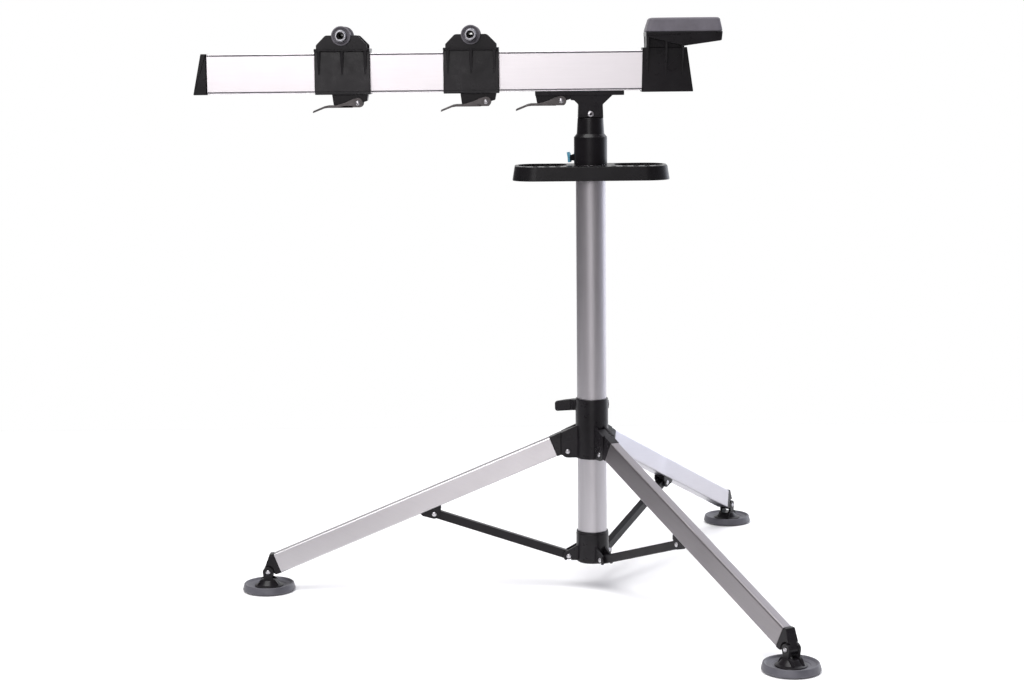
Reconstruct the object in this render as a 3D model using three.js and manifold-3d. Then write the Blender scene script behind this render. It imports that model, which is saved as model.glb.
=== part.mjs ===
// A folding bicycle work stand: a round column on a tripod whose legs fold with a sliding hub,
// a head that turns on the column, and a long beam with a bottom bracket rest and two saddles
// that take a fork or a rear axle. Millimetres. The model is built y up, x along the beam and
// z towards the front, with the column's axis at x = 0, and turned to z up at the end.
import * as THREE from "three";
import { mergeVertices } from "three/addons/utils/BufferGeometryUtils.js";
import Module from "manifold-3d";

const wasm = await Module();
wasm.setup();

// ---------------------------------------------------------------- driving dimensions

const GAP = 0.3; // clearance left between neighbouring pieces

// Column and the sleeves around it
const COLUMN_R = 25;
const COLUMN_WALL = 2;
const COLUMN_BOTTOM = 51.4;
const COLUMN_TOP = 777;
const SLEEVE_R = 28; // outer radius of hub, base collar and head sleeve
const RUNNING_R = COLUMN_R + 0.5; // bore of what slides or turns on the column
const FIXED_R = COLUMN_R + GAP;
const ROUND = 24; // sides of a large round piece

// Tripod, as pivots in a leg's upright plane: distance from the column's axis, height
const HUB_PIVOT = [41.8, 243];
const FOOT_PIVOT = [562.3, 34];
const COLLAR_PIVOT = [41.3, 58.7];
const BRACKET_PIVOT = [272.8, 134.7];
const LEG_AZIMUTHS = [180, -60, 60];
const HUB_BOTTOM = 231;
const HUB_TOP = 334;
const COLLAR_BOTTOM = 48;
const COLLAR_TOP = 103;

// Leg tube
const TUBE_H = 35;
const TUBE_W = 24; // across its underside
const TUBE_TOP_W = 17;
const TUBE_WALL = 1.8;
const TUBE_CORNER = 4;
const TUBE_START = 20; // along the tube from the hub pivot
const TUBE_END = 539.3;
const TUBE_UNDERSIDE = -0.7; // below the hub pivot, square to the tube
const TUBE_SKEW = 0.0154; // angle between the tube and the line through its pivots
const PLUG_CLEARANCE = 0.8;

// Pivots: ears either side of a tongue, and a rivet through them
const RIVET_R = 3;
const RIVET_HEAD_R = 4.8;
const RIVET_HEAD_T = 1.5;
const PIN_CLEARANCE = 0.3;
const HUB_EAR = { inner: 7.3, outer: 11.8 };
const COLLAR_EAR = { inner: 7, outer: 11 };
const BRACKET_EAR = { inner: 7, outer: 10.4 };
const FOOT_EAR = { inner: 6.8, outer: 11.4 };
const KNUCKLE_TONGUE = 13.6;
const STRUT_W = 12;
const STRUT_H = 14.4;
const CAP_TONGUE = 12.6;
const FOOT_R = 45.5;

// Beam
const BEAM_TOP = 923;
const BEAM_BOTTOM = 857;
const BEAM_HALF_D = 18;
const BEAM_WALL = 2.5;
const BEAM_LEFT = -640;
const BEAM_RIGHT = 158;
const BEAM_CORNER = 3;
const BEAM_SLOT_HALF = 7;

// Head
const HEAD_BOTTOM = 733;
const HEAD_SHOULDER = 779;
const STEM_TOP = 811.2;
const STEM_R = 22.4;
const NECK_BOLT_Z = 818;
const SPIGOT_HALF = 11;

// Cam levers under the beam: rivet below the beam's underside, and lever section
const LEVER_DROP = 16.5;
const BLOCK_HALF_D = 12.5;
const LEVER_HALF_W = 15.3;
const LEVER_WEB = 2.5;
const HEAD_LEVER_X = -49;

// Saddles
const SADDLES = [
  { x: -413.5, rivet: 24, axle: 100 },
  { x: -198.8, rivet: 24, axle: 130 },
];
const SADDLE_HALF_W = 46.5;
const SADDLE_WALL = 5;
const AXLE_UP = 28.5; // axle centre above the beam's top
const AXLE = { outer: 10, mouth: 5.5, mouthDepth: 9, bore: 3.7 };

// The column stands this far along x from the middle of the whole stand's box
const COLUMN_X = 168.7;

const MATERIALS = {
  aluminium: { color: 0xb9b6bd, roughness: 0.38, metalness: 0.9 },
  beam: { color: 0xe6e2e8, roughness: 0.35, metalness: 0.85 },
  black_plastic: { color: 0x1d1b1f, roughness: 0.55, metalness: 0 },
  black_steel: { color: 0x201e22, roughness: 0.5, metalness: 0.4 },
  lever_steel: { color: 0x615b5b, roughness: 0.35, metalness: 0.9 },
  rivet_steel: { color: 0xc4c4c8, roughness: 0.25, metalness: 1 },
  grey_rubber: { color: 0x48464e, roughness: 0.8, metalness: 0 },
  pad_rubber: { color: 0x55525a, roughness: 0.85, metalness: 0 },
  grey_plastic: { color: 0x3f3d43, roughness: 0.6, metalness: 0 },
  chrome: { color: 0xb9bbc0, roughness: 0.15, metalness: 1 },
  blue_plastic: { color: 0x5fa3c4, roughness: 0.5, metalness: 0 },
};

// ---------------------------------------------------------------- shape helpers

function solidOf(geometry) {
  const bare = geometry.clone();
  bare.deleteAttribute("normal");
  bare.deleteAttribute("uv");
  const merged = mergeVertices(bare, 1e-3);
  const triVerts = new Uint32Array(merged.index.array);
  const vertProperties = new Float32Array(merged.attributes.position.array);
  return new wasm.Manifold(new wasm.Mesh({ numProp: 3, vertProperties, triVerts }));
}

function geometryOf(solid) {
  const mesh = solid.getMesh();
  const geometry = new THREE.BufferGeometry();
  geometry.setAttribute("position", new THREE.BufferAttribute(mesh.vertProperties, 3));
  geometry.setIndex(new THREE.BufferAttribute(mesh.triVerts, 1));
  geometry.computeVertexNormals();
  return geometry;
}

function joined(pieces) {
  return geometryOf(pieces.map(solidOf).reduce((a, b) => a.add(b)));
}

function cut(base, tools) {
  return geometryOf(tools.map(solidOf).reduce((a, b) => a.subtract(b), solidOf(base)));
}

// A straight-sided outline through points given as [x, y].
function polygon(points) {
  return new THREE.Shape(points.map(([x, y]) => new THREE.Vector2(x, y)));
}

function roundedRectangle(width, height, radius) {
  const x = width / 2 - radius;
  const y = height / 2 - radius;
  const shape = new THREE.Shape();
  shape.moveTo(-x, -y - radius);
  shape.lineTo(x, -y - radius);
  shape.absarc(x, -y, radius, -Math.PI / 2, 0);
  shape.absarc(x, y, radius, 0, Math.PI / 2);
  shape.absarc(-x, y, radius, Math.PI / 2, Math.PI);
  shape.absarc(-x, -y, radius, Math.PI, 1.5 * Math.PI);
  return shape;
}

function withHole(shape, x, y, radius) {
  const hole = new THREE.Path();
  hole.absarc(x, y, radius, 0, 2 * Math.PI, true);
  shape.holes.push(hole);
  return shape;
}

// An outline in the x-y plane given a thickness along z, centred on z = middle.
function slab(shape, thickness, middle = 0, curveSegments = 5) {
  const settings = { depth: thickness, bevelEnabled: false, curveSegments };
  const geometry = new THREE.ExtrudeGeometry(shape, settings);
  return geometry.translate(0, 0, middle - thickness / 2);
}

// The same outline twice, as a pair of ears from inner to outer either side of z = 0.
function ears(shape, { inner, outer }) {
  const thickness = outer - inner;
  const middle = (outer + inner) / 2;
  return [slab(shape, thickness, middle), slab(shape, thickness, -middle)];
}

function block(x0, x1, y0, y1, z0, z1) {
  const geometry = new THREE.BoxGeometry(x1 - x0, y1 - y0, z1 - z0);
  return geometry.translate((x0 + x1) / 2, (y0 + y1) / 2, (z0 + z1) / 2);
}

// A solid of revolution about y from [radius, height] points that start and end on the axis or
// close on themselves, listed anticlockwise.
function turned(points, sides = ROUND) {
  return new THREE.LatheGeometry(points.map(([r, y]) => new THREE.Vector2(r, y)), sides);
}

// A plain cylinder from y0 to y1 about y.
function post(radius, y0, y1, sides = ROUND) {
  return turned([[0, y0], [radius, y0], [radius, y1], [0, y1]], sides);
}

// A cylinder along z through (x, y), for cross holes and pins.
function crossPost(radius, halfLength, x, y, sides = 16) {
  return post(radius, -halfLength, halfLength, sides).rotateX(Math.PI / 2).translate(x, y, 0);
}

// A rivet along z with a low head on each end, its heads just outside half-width reach.
function rivet(reach, radius = RIVET_R, headR = RIVET_HEAD_R) {
  const under = reach + 0.2;
  const end = under + RIVET_HEAD_T;
  const half = [[radius, under], [headR, under], [headR - 1.4, end], [0, end]];
  const low = half.map(([r, y]) => [r, -y]).reverse();
  return turned([...low, ...half], 12).rotateX(Math.PI / 2);
}

function meshOf(name, geometry, materialName) {
  const material = new THREE.MeshStandardMaterial(MATERIALS[materialName]);
  const mesh = new THREE.Mesh(geometry, material);
  mesh.name = name;
  return mesh;
}

// ---------------------------------------------------------------- column, base collar, hub

function columnTube() {
  const inner = COLUMN_R - COLUMN_WALL;
  return turned([
    [inner, COLUMN_BOTTOM],
    [COLUMN_R, COLUMN_BOTTOM],
    [COLUMN_R, COLUMN_TOP],
    [inner, COLUMN_TOP],
    [inner, COLUMN_BOTTOM],
  ]);
}

// An ear of the base collar: its slot is open and flares downwards, so a strut's rivet can leave.
function collarEar() {
  const [x, y] = COLLAR_PIVOT;
  const slot = RIVET_R + PIN_CLEARANCE;
  const shape = new THREE.Shape();
  shape.moveTo(24, 76);
  shape.lineTo(24, y - 9.4);
  shape.lineTo(x - slot - 1.4, y - 9.4);
  shape.lineTo(x - slot, y - 0.8);
  shape.lineTo(x - slot, y);
  shape.absarc(x, y, slot, Math.PI, 0, true);
  shape.lineTo(x + slot, y - 8.8);
  shape.absarc(x, y, 9.4, -1.21, 0.9);
  shape.lineTo(28, 76);
  return shape;
}

function baseCollar() {
  const arms = LEG_AZIMUTHS.flatMap((azimuth) =>
    ears(collarEar(), COLLAR_EAR).map((g) => g.rotateY(THREE.MathUtils.degToRad(azimuth))),
  );
  const sleeve = turned([
    [0, COLLAR_BOTTOM],
    [SLEEVE_R - 2, COLLAR_BOTTOM],
    [SLEEVE_R, COLLAR_BOTTOM + 2],
    [SLEEVE_R, COLLAR_TOP - 1],
    [SLEEVE_R - 1, COLLAR_TOP],
    [0, COLLAR_TOP],
  ]);
  const bore = post(FIXED_R, COLUMN_BOTTOM - GAP, COLLAR_TOP + 5);
  return cut(joined([sleeve, ...arms]), [bore]);
}

function hubEar() {
  const [x, y] = HUB_PIVOT;
  const shape = new THREE.Shape();
  shape.moveTo(24, HUB_BOTTOM + 1);
  shape.lineTo(x, y - 11);
  shape.absarc(x, y, 11, -Math.PI / 2, 0);
  shape.lineTo(x + 11, 276);
  shape.lineTo(28, 287.2);
  shape.lineTo(24, 289);
  return withHole(shape, x, y, RIVET_R + PIN_CLEARANCE);
}

// Where the hub's clamp bolt runs, behind the column, and the boss that it draws together
const CLAMP = { z: -34, y: 317, half: 11, left: -19, right: 25, boltR: 3 };
const CAM = { x: -28.5, r: 8.7 };

function legHub() {
  const arms = LEG_AZIMUTHS.flatMap((azimuth) =>
    ears(hubEar(), HUB_EAR).map((g) => g.rotateY(THREE.MathUtils.degToRad(azimuth))),
  );
  const sleeve = turned([
    [0, HUB_BOTTOM],
    [SLEEVE_R - 1, HUB_BOTTOM],
    [SLEEVE_R, HUB_BOTTOM + 1],
    [SLEEVE_R, HUB_TOP - 2],
    [SLEEVE_R - 1.5, HUB_TOP],
    [0, HUB_TOP],
  ]);
  const { left, right, y, half, z, boltR } = CLAMP;
  const boss = block(left, right, y - half, y + half, z - 7, -20);
  const bore = post(RUNNING_R, HUB_BOTTOM - 5, HUB_TOP + 5);
  const slit = block(-1.5, 1.5, y - half - 6, HUB_TOP + 5, z - 10, -18);
  const boltHole = post(boltR + PIN_CLEARANCE, left - 5, right + 5, 16)
    .rotateZ(-Math.PI / 2)
    .translate(0, y, z);
  return cut(joined([sleeve, boss, ...arms]), [bore, slit, boltHole]);
}

// The clamp bolt: a shank along x, a nut at its right end and an upright cross pin in the cam.
function hubBolt() {
  const { right, y, z, boltR } = CLAMP;
  const shank = post(boltR, CAM.x, right + 2, 16).rotateZ(-Math.PI / 2).translate(0, y, z);
  const nut = post(6.6, right + GAP, right + 6, 6).rotateZ(-Math.PI / 2).translate(0, y, z);
  const pin = post(boltR, y - 8, y + 8, 16).translate(CAM.x, 0, z);
  return joined([shank, nut, pin]);
}

// The hub's quick-release lever, seen from above: a round cam and a curved handle.
function hubLever() {
  const { y, z, boltR } = CLAMP;
  const shape = new THREE.Shape();
  shape.moveTo(0, -CAM.r);
  shape.absarc(0, 0, CAM.r, -Math.PI / 2, Math.PI / 2);
  shape.quadraticCurveTo(-14, 4, -27, 5);
  shape.absarc(-30, 1.5, 4.4, 0.9, 3.9);
  shape.quadraticCurveTo(-14, -5, 0, -CAM.r);
  const handle = slab(shape, 17).rotateX(-Math.PI / 2).translate(CAM.x, y, z);
  const pinHole = post(boltR + PIN_CLEARANCE, y - 20, y + 20, 16).translate(CAM.x, 0, z);
  const slotReach = CAM.r + 1;
  const shankSlot = block(CAM.x - 4, CAM.x + slotReach, y - 3.5, y + 3.5, z - slotReach, z + 3.6);
  return cut(handle, [pinHole, shankSlot]);
}

// ---------------------------------------------------------------- legs, in the leg's plane

const LEG_SLOPE = Math.atan2(HUB_PIVOT[1] - FOOT_PIVOT[1], FOOT_PIVOT[0] - HUB_PIVOT[0]);
const TUBE_SLOPE = LEG_SLOPE + TUBE_SKEW;
const TUBE_TOP = TUBE_UNDERSIDE + TUBE_H;

// A point given along and square to the tube, as distance from the column and height.
function fromTube(along, up) {
  const x = HUB_PIVOT[0] + along * Math.cos(TUBE_SLOPE) + up * Math.sin(TUBE_SLOPE);
  const y = HUB_PIVOT[1] - along * Math.sin(TUBE_SLOPE) + up * Math.cos(TUBE_SLOPE);
  return [x, y];
}

// A geometry made along the tube, moved to its place in the leg's plane.
function placedOnTube(geometry) {
  return geometry.rotateZ(-TUBE_SLOPE).translate(HUB_PIVOT[0], HUB_PIVOT[1], 0);
}

// The tube's section, or that of its bore at the wall's depth, narrower at the top; corners cut.
function tubeSection(depth) {
  const low = TUBE_W / 2 - depth;
  const high = TUBE_TOP_W / 2 - depth;
  const corner = (TUBE_CORNER - depth) / 2;
  const top = TUBE_H - depth;
  const side = [
    [low - corner, depth],
    [low, depth + corner],
    [high, top - corner],
    [high - corner, top],
  ];
  const mirrored = side.map(([z, y]) => [-z, y]).reverse();
  return [...side, ...mirrored];
}

function legTube() {
  const section = polygon(tubeSection(0));
  section.holes.push(new THREE.Path(polygon(tubeSection(TUBE_WALL)).getPoints()));
  const tube = slab(section, TUBE_END - TUBE_START);
  tube.rotateY(Math.PI / 2).translate((TUBE_START + TUBE_END) / 2, TUBE_UNDERSIDE, 0);
  return placedOnTube(tube);
}

// Narrows a moulded end of the leg upwards as the tube does.
function narrowedUp(geometry) {
  const position = geometry.getAttribute("position");
  for (let i = 0; i < position.count; i += 1) {
    const up = toTube([position.getX(i), position.getY(i)])[1];
    const rise = THREE.MathUtils.clamp((up - TUBE_UNDERSIDE) / TUBE_H, 0, 1);
    const width = THREE.MathUtils.lerp(1, TUBE_TOP_W / TUBE_W, rise);
    position.setZ(i, position.getZ(i) * width);
  }
  return geometry;
}

// A plug that fills the tube's bore between two places along it.
function tubePlug(from, to) {
  const side = TUBE_WALL + PLUG_CLEARANCE;
  const halfW = TUBE_TOP_W / 2 - side;
  const plug = block(from, to, TUBE_UNDERSIDE + side, TUBE_TOP - side, -halfW, halfW);
  return placedOnTube(plug);
}

function legKnuckle() {
  const [x, y] = HUB_PIVOT;
  const end = TUBE_START - GAP;
  const shoulder = [
    fromTube(end, TUBE_TOP),
    [x + 11.7, 275.7],
    [x + 11.7, 236.6],
    fromTube(end, TUBE_UNDERSIDE),
  ];
  const tongue = new THREE.Shape();
  tongue.moveTo(x + 12.7, 275.2);
  tongue.lineTo(x - 9.6, 284);
  tongue.absarc(x, y, 9.6, Math.PI, 1.5 * Math.PI);
  tongue.lineTo(x + 12.7, 236.4);
  withHole(tongue, x, y, RIVET_R + PIN_CLEARANCE);
  const wide = narrowedUp(slab(polygon(shoulder), TUBE_W));
  const narrow = slab(tongue, KNUCKLE_TONGUE);
  return joined([wide, narrow, tubePlug(TUBE_START - 2, TUBE_START + 32)]);
}

function legEndCap() {
  const [x, y] = FOOT_PIVOT;
  const end = TUBE_END + GAP;
  const clear = 12;
  const wide = new THREE.Shape();
  const corner = fromTube(end, TUBE_UNDERSIDE);
  wide.moveTo(...corner);
  wide.lineTo(x - 14.8, y - 3);
  wide.lineTo(x - clear * Math.cos(0.22), y - clear * Math.sin(0.22));
  wide.absarc(x, y, clear, Math.PI + 0.22, 1.2, true);
  wide.lineTo(x - 2.7, y + 31.5);
  wide.lineTo(...fromTube(end, TUBE_TOP));
  const tongue = new THREE.Shape();
  tongue.moveTo(x - 15, y + 14);
  tongue.lineTo(x - 15, y - 2.5);
  tongue.lineTo(x - 8, y - 3);
  tongue.absarc(x, y, 8.5, Math.PI + 0.36, 0.6);
  tongue.lineTo(x + 2, y + 19);
  withHole(tongue, x, y, RIVET_R + PIN_CLEARANCE);
  const head = narrowedUp(slab(wide, TUBE_W));
  return joined([head, slab(tongue, CAP_TONGUE), tubePlug(TUBE_END - 30, TUBE_END + 2)]);
}

// A point of the leg's plane, along and square to the tube.
function toTube([x, y]) {
  const dx = x - HUB_PIVOT[0];
  const dy = y - HUB_PIVOT[1];
  const along = dx * Math.cos(TUBE_SLOPE) - dy * Math.sin(TUBE_SLOPE);
  const up = dx * Math.sin(TUBE_SLOPE) + dy * Math.cos(TUBE_SLOPE);
  return [along, up];
}

function strutBracket() {
  const [x, y] = toTube(BRACKET_PIVOT);
  const top = TUBE_UNDERSIDE - GAP;
  const shape = new THREE.Shape();
  shape.moveTo(x - 16, top);
  shape.lineTo(x - 13.6, y + 2);
  shape.absarc(x, y, 8.4, Math.PI + 0.1, 1.5 * Math.PI + 0.5);
  shape.lineTo(x + 19.5, top - 5);
  shape.lineTo(x + 21.6, top);
  withHole(shape, x, y, RIVET_R + PIN_CLEARANCE);
  const cheeks = ears(shape, BRACKET_EAR);
  const base = block(x - 16, x + 21.6, top - 1.5, top, -BRACKET_EAR.outer, BRACKET_EAR.outer);
  return placedOnTube(joined([...cheeks, base]));
}

function strutBar() {
  const [x0, y0] = COLLAR_PIVOT;
  const [x1, y1] = BRACKET_PIVOT;
  const length = Math.hypot(x1 - x0, y1 - y0);
  const half = STRUT_H / 2;
  const shape = new THREE.Shape();
  shape.moveTo(0, -half);
  shape.lineTo(length, -half);
  shape.absarc(length, 0, half, -Math.PI / 2, Math.PI / 2);
  shape.lineTo(0, half);
  shape.absarc(0, 0, half, Math.PI / 2, 1.5 * Math.PI);
  withHole(shape, 0, 0, RIVET_R + PIN_CLEARANCE);
  withHole(shape, length, 0, RIVET_R + PIN_CLEARANCE);
  return slab(shape, STRUT_W).rotateZ(Math.atan2(y1 - y0, x1 - x0)).translate(x0, y0, 0);
}

const SOLE_RECESS = 8; // height of the recessed top of a foot's rubber sole
const YOKE_BASE_TOP = 12;

function footYoke() {
  const [x, y] = FOOT_PIVOT;
  const shape = new THREE.Shape();
  shape.moveTo(x - 12, YOKE_BASE_TOP - 2);
  shape.lineTo(x + 14, YOKE_BASE_TOP - 2);
  shape.lineTo(x + 9.4, y);
  shape.absarc(x, y, 9.4, 0, Math.PI);
  withHole(shape, x, y, RIVET_R + PIN_CLEARANCE);
  const disc = post(29, SOLE_RECESS + GAP, YOKE_BASE_TOP, 24).translate(x, 0, 0);
  return joined([disc, ...ears(shape, FOOT_EAR)]);
}

function footSole() {
  const profile = [
    [0, 0],
    [FOOT_R - 2, 0],
    [FOOT_R, 2.2],
    [FOOT_R - 3, 13],
    [FOOT_R - 5, 14],
    [FOOT_R - 7, 12.6],
    [FOOT_R - 9, SOLE_RECESS],
    [0, SOLE_RECESS],
  ];
  return turned(profile).translate(FOOT_PIVOT[0], 0, 0);
}

function at([x, y], geometry) {
  return geometry.translate(x, y, 0);
}

function makeLeg(number, azimuth) {
  const plane = new THREE.Group();
  plane.rotation.y = THREE.MathUtils.degToRad(azimuth);
  plane.add(
    meshOf(`leg_${number}_tube`, legTube(), "aluminium"),
    meshOf(`leg_${number}_knuckle`, legKnuckle(), "black_plastic"),
    meshOf(`leg_${number}_end_cap`, legEndCap(), "black_plastic"),
    meshOf(`leg_${number}_hub_rivet`, at(HUB_PIVOT, rivet(HUB_EAR.outer)), "rivet_steel"),
    meshOf(`leg_${number}_bracket`, strutBracket(), "black_steel"),
    meshOf(`leg_${number}_bracket_rivet`, at(BRACKET_PIVOT, rivet(BRACKET_EAR.outer)), "rivet_steel"),
    meshOf(`strut_${number}_bar`, strutBar(), "black_steel"),
    meshOf(`strut_${number}_rivet`, at(COLLAR_PIVOT, rivet(COLLAR_EAR.outer)), "rivet_steel"),
    meshOf(`foot_${number}_yoke`, footYoke(), "black_plastic"),
    meshOf(`foot_${number}_sole`, footSole(), "grey_rubber"),
    meshOf(`foot_${number}_rivet`, at(FOOT_PIVOT, rivet(FOOT_EAR.outer)), "rivet_steel"),
  );
  return plane;
}

// ---------------------------------------------------------------- head, tray

// The turn lock's hinge on the head sleeve: distance from the column's axis, height, azimuth
const LOCK = { r: 31.5, y: 744.5, azimuth: 158, lug: { inner: 5, outer: 8 } };

function headSleeve() {
  const core = COLUMN_R - COLUMN_WALL - 0.4;
  const body = turned([
    [0, HEAD_BOTTOM - 15],
    [core, HEAD_BOTTOM - 15],
    [core, COLUMN_TOP + GAP],
    [RUNNING_R, COLUMN_TOP + GAP],
    [RUNNING_R, HEAD_BOTTOM],
    [SLEEVE_R, HEAD_BOTTOM],
    [SLEEVE_R, HEAD_SHOULDER],
    [STEM_R, HEAD_SHOULDER + 6],
    [STEM_R - 0.9, STEM_TOP],
    [0, STEM_TOP],
  ]);
  const half = SPIGOT_HALF;
  const spigot = block(-half, half, STEM_TOP - 1, STEM_TOP + 18, -half, half);
  const lug = withHole(
    polygon([[26.5, LOCK.y - 5], [LOCK.r + 3, LOCK.y - 4], [LOCK.r + 3, LOCK.y + 4], [26.5, LOCK.y + 7]]),
    LOCK.r,
    LOCK.y,
    1.8,
  );
  const lugs = ears(lug, LOCK.lug).map((g) => g.rotateY(THREE.MathUtils.degToRad(LOCK.azimuth)));
  const boltHole = crossPost(RIVET_R + PIN_CLEARANCE, 20, 0, NECK_BOLT_Z);
  return cut(joined([body, spigot, ...lugs]), [boltHole]);
}

// The turn lock: an upright paddle on a short link, hinged between the lugs on its own trunnions.
function turnLock() {
  const { r, y } = LOCK;
  const side = polygon([
    [r - 2.6, y - 2.5],
    [r + 3, y - 3.5],
    [r + 5, y - 8],
    [r + 8, y - 8],
    [r + 8.4, y],
    [r + 10, y + 9],
    [r + 7.2, y + 9.5],
    [r + 4.6, y + 3],
    [r - 2.6, y + 2.5],
  ]);
  const trunnions = crossPost(1.5, 7.6, r, y, 12);
  return joined([slab(side, 9), trunnions]).rotateY(THREE.MathUtils.degToRad(LOCK.azimuth));
}

// The cam block that hangs under the beam where a lever bears, with its rivet at x.
function camBlock(x, top) {
  const rivetY = BEAM_BOTTOM - LEVER_DROP;
  const outline = polygon([
    [x - 43, top],
    [x - 40.5, rivetY - 3.5],
    [x + 3, rivetY - 3.5],
    [x + 8, rivetY + 0.5],
    [x + 15.5, rivetY + 2.8],
    [x + 18, top],
  ]);
  return slab(withHole(outline, x, rivetY, RIVET_R + PIN_CLEARANCE), 2 * BLOCK_HALF_D);
}

function headBracket() {
  const top = BEAM_BOTTOM - GAP;
  const flangeBottom = BEAM_BOTTOM - 7.7;
  const flange = block(-92.6, 56, flangeBottom, top, -BEAM_HALF_D, BEAM_HALF_D);
  const neck = polygon([
    [37, flangeBottom + 0.5],
    [20.4, 834],
    [21.2, STEM_TOP + GAP],
    [-21.2, STEM_TOP + GAP],
    [-20.4, 834],
    [-27.5, 841],
    [-33, 841.5],
    [-33, flangeBottom + 0.5],
  ]);
  const half = SPIGOT_HALF + GAP;
  const pocket = block(-half, half, STEM_TOP - 5, STEM_TOP + 18 + GAP, -half, half);
  const boltHole = crossPost(RIVET_R + PIN_CLEARANCE, 30, 0, NECK_BOLT_Z);
  const shoePocket = block(-88, -38, BEAM_BOTTOM - 6, BEAM_BOTTOM + 2, -6.4, 6.4);
  const body = joined([flange, slab(neck, 34), camBlock(HEAD_LEVER_X, flangeBottom + 1)]);
  return cut(body, [pocket, boltHole, shoePocket]);
}

// The shoe that grips the lips of the beam's slot: a plate inside the beam on a neck.
function clampShoe() {
  const lip = BEAM_BOTTOM + BEAM_WALL;
  const plate = block(-90, -36, lip + GAP, lip + 5.5, -12, 12);
  const neck = block(-87.6, -38.4, BEAM_BOTTOM - 5.7, lip + 2, -6, 6);
  return joined([plate, neck]);
}

// A cam lever with its rivet at the origin: a channel with two webs and a bent handle to the left.
function clampLever() {
  const web = new THREE.Shape();
  web.moveTo(-38, -3.9);
  web.lineTo(-52, -3.9);
  web.lineTo(-52, -7.5);
  web.absarc(0, 0, 8.5, -1.08, Math.PI / 2);
  withHole(web, 0, 0, RIVET_R + PIN_CLEARANCE);
  const handle = polygon([
    [-8, -3.9],
    [-52, -3.9],
    [-75.4, -13.6],
    [-76.8, -17],
    [-52.8, -7.5],
    [-8, -7.5],
  ]);
  const webs = ears(web, { inner: LEVER_HALF_W - LEVER_WEB, outer: LEVER_HALF_W });
  return joined([slab(handle, 2 * LEVER_HALF_W), ...webs]);
}

const TRAY = { bottom: 708.5, top: 732.4, width: 264, depth: 114, floor: 3 };

// The tool tray: an oblong dish round the column with a well each side, towards the back, and a ledge
// along the front.
function toolTray() {
  const height = TRAY.top - TRAY.bottom;
  const plan = roundedRectangle(TRAY.width, TRAY.depth, 40);
  const dish = slab(plan, height, height / 2, 5).rotateX(-Math.PI / 2).translate(0, TRAY.bottom, 0);
  const position = dish.getAttribute("position");
  for (let i = 0; i < position.count; i += 1) {
    const taper = 1 - (0.03 * (position.getY(i) - TRAY.bottom)) / height;
    position.setX(i, position.getX(i) * taper);
    position.setZ(i, position.getZ(i) * taper);
  }
  const wells = [-1, 1].map((side) =>
    slab(roundedRectangle(82, 80, 30), height, 0, 4)
      .rotateX(-Math.PI / 2)
      .translate(side * 81, TRAY.bottom + TRAY.floor + height / 2, -12),
  );
  return cut(dish, [post(RUNNING_R, TRAY.bottom - 1, TRAY.top + 1), ...wells]);
}

// ---------------------------------------------------------------- beam and bottom bracket rest

// The beam's section is a rounded box with a slot along the middle of its underside.
function beamTube() {
  const halfH = (BEAM_TOP - BEAM_BOTTOM) / 2;
  const halfD = BEAM_HALF_D;
  const wall = BEAM_WALL;
  const r = BEAM_CORNER;
  const slot = BEAM_SLOT_HALF;
  const section = new THREE.Shape();
  section.moveTo(-slot, -halfH);
  section.lineTo(-slot, wall - halfH);
  section.lineTo(wall - halfD, wall - halfH);
  section.lineTo(wall - halfD, halfH - wall);
  section.lineTo(halfD - wall, halfH - wall);
  section.lineTo(halfD - wall, wall - halfH);
  section.lineTo(slot, wall - halfH);
  section.lineTo(slot, -halfH);
  section.lineTo(halfD - r, -halfH);
  section.absarc(halfD - r, r - halfH, r, -Math.PI / 2, 0);
  section.absarc(halfD - r, halfH - r, r, 0, Math.PI / 2);
  section.absarc(r - halfD, halfH - r, r, Math.PI / 2, Math.PI);
  section.absarc(r - halfD, r - halfH, r, Math.PI, 1.5 * Math.PI);
  const tube = slab(section, BEAM_RIGHT - BEAM_LEFT, 0, 3).rotateY(Math.PI / 2);
  return tube.translate((BEAM_LEFT + BEAM_RIGHT) / 2, (BEAM_TOP + BEAM_BOTTOM) / 2, 0);
}

// The plug of the beam's end pieces, clear of its walls and of its slot's lips.
function beamPlug(from, to) {
  const side = BEAM_WALL + PLUG_CLEARANCE;
  const halfD = BEAM_HALF_D - side;
  return block(from, to, BEAM_BOTTOM + side, BEAM_TOP - side, -halfD, halfD);
}

function beamEndCap() {
  const end = BEAM_LEFT - GAP;
  const outline = polygon([
    [end, BEAM_BOTTOM - 1],
    [end, BEAM_TOP + 1],
    [-650, BEAM_TOP + 1],
    [-664, BEAM_BOTTOM - 1],
  ]);
  return joined([slab(outline, 2 * BEAM_HALF_D + 2), beamPlug(end - 2, BEAM_LEFT + 28)]);
}

// A gusset on a front or back face: widest and proudest at its top, fading out downwards.
function gusset(x, top, bottom, face, proud, width) {
  const side = polygon([[face - 1, bottom], [face, bottom], [proud, top], [face - 1, top]]);
  const wedge = slab(side, width).rotateY(-Math.PI / 2);
  const position = wedge.getAttribute("position");
  for (let i = 0; i < position.count; i += 1) {
    const down = (top - position.getY(i)) / (top - bottom);
    position.setX(i, position.getX(i) * (1 - 0.6 * down));
  }
  return wedge.translate(x, 0, 0);
}

// The same gusset on the front and, turned half round, on the back.
function gussetPair(x, ...sizes) {
  return [gusset(x, ...sizes), gusset(-x, ...sizes).rotateY(Math.PI)];
}

// The bottom bracket rest: a block over the beam's end, a neck, and the platform for the pad.
const REST = { left: 85, halfD: 23, top: BEAM_TOP + 4.5, bottom: BEAM_BOTTOM - 3, platform: 953 };

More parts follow.
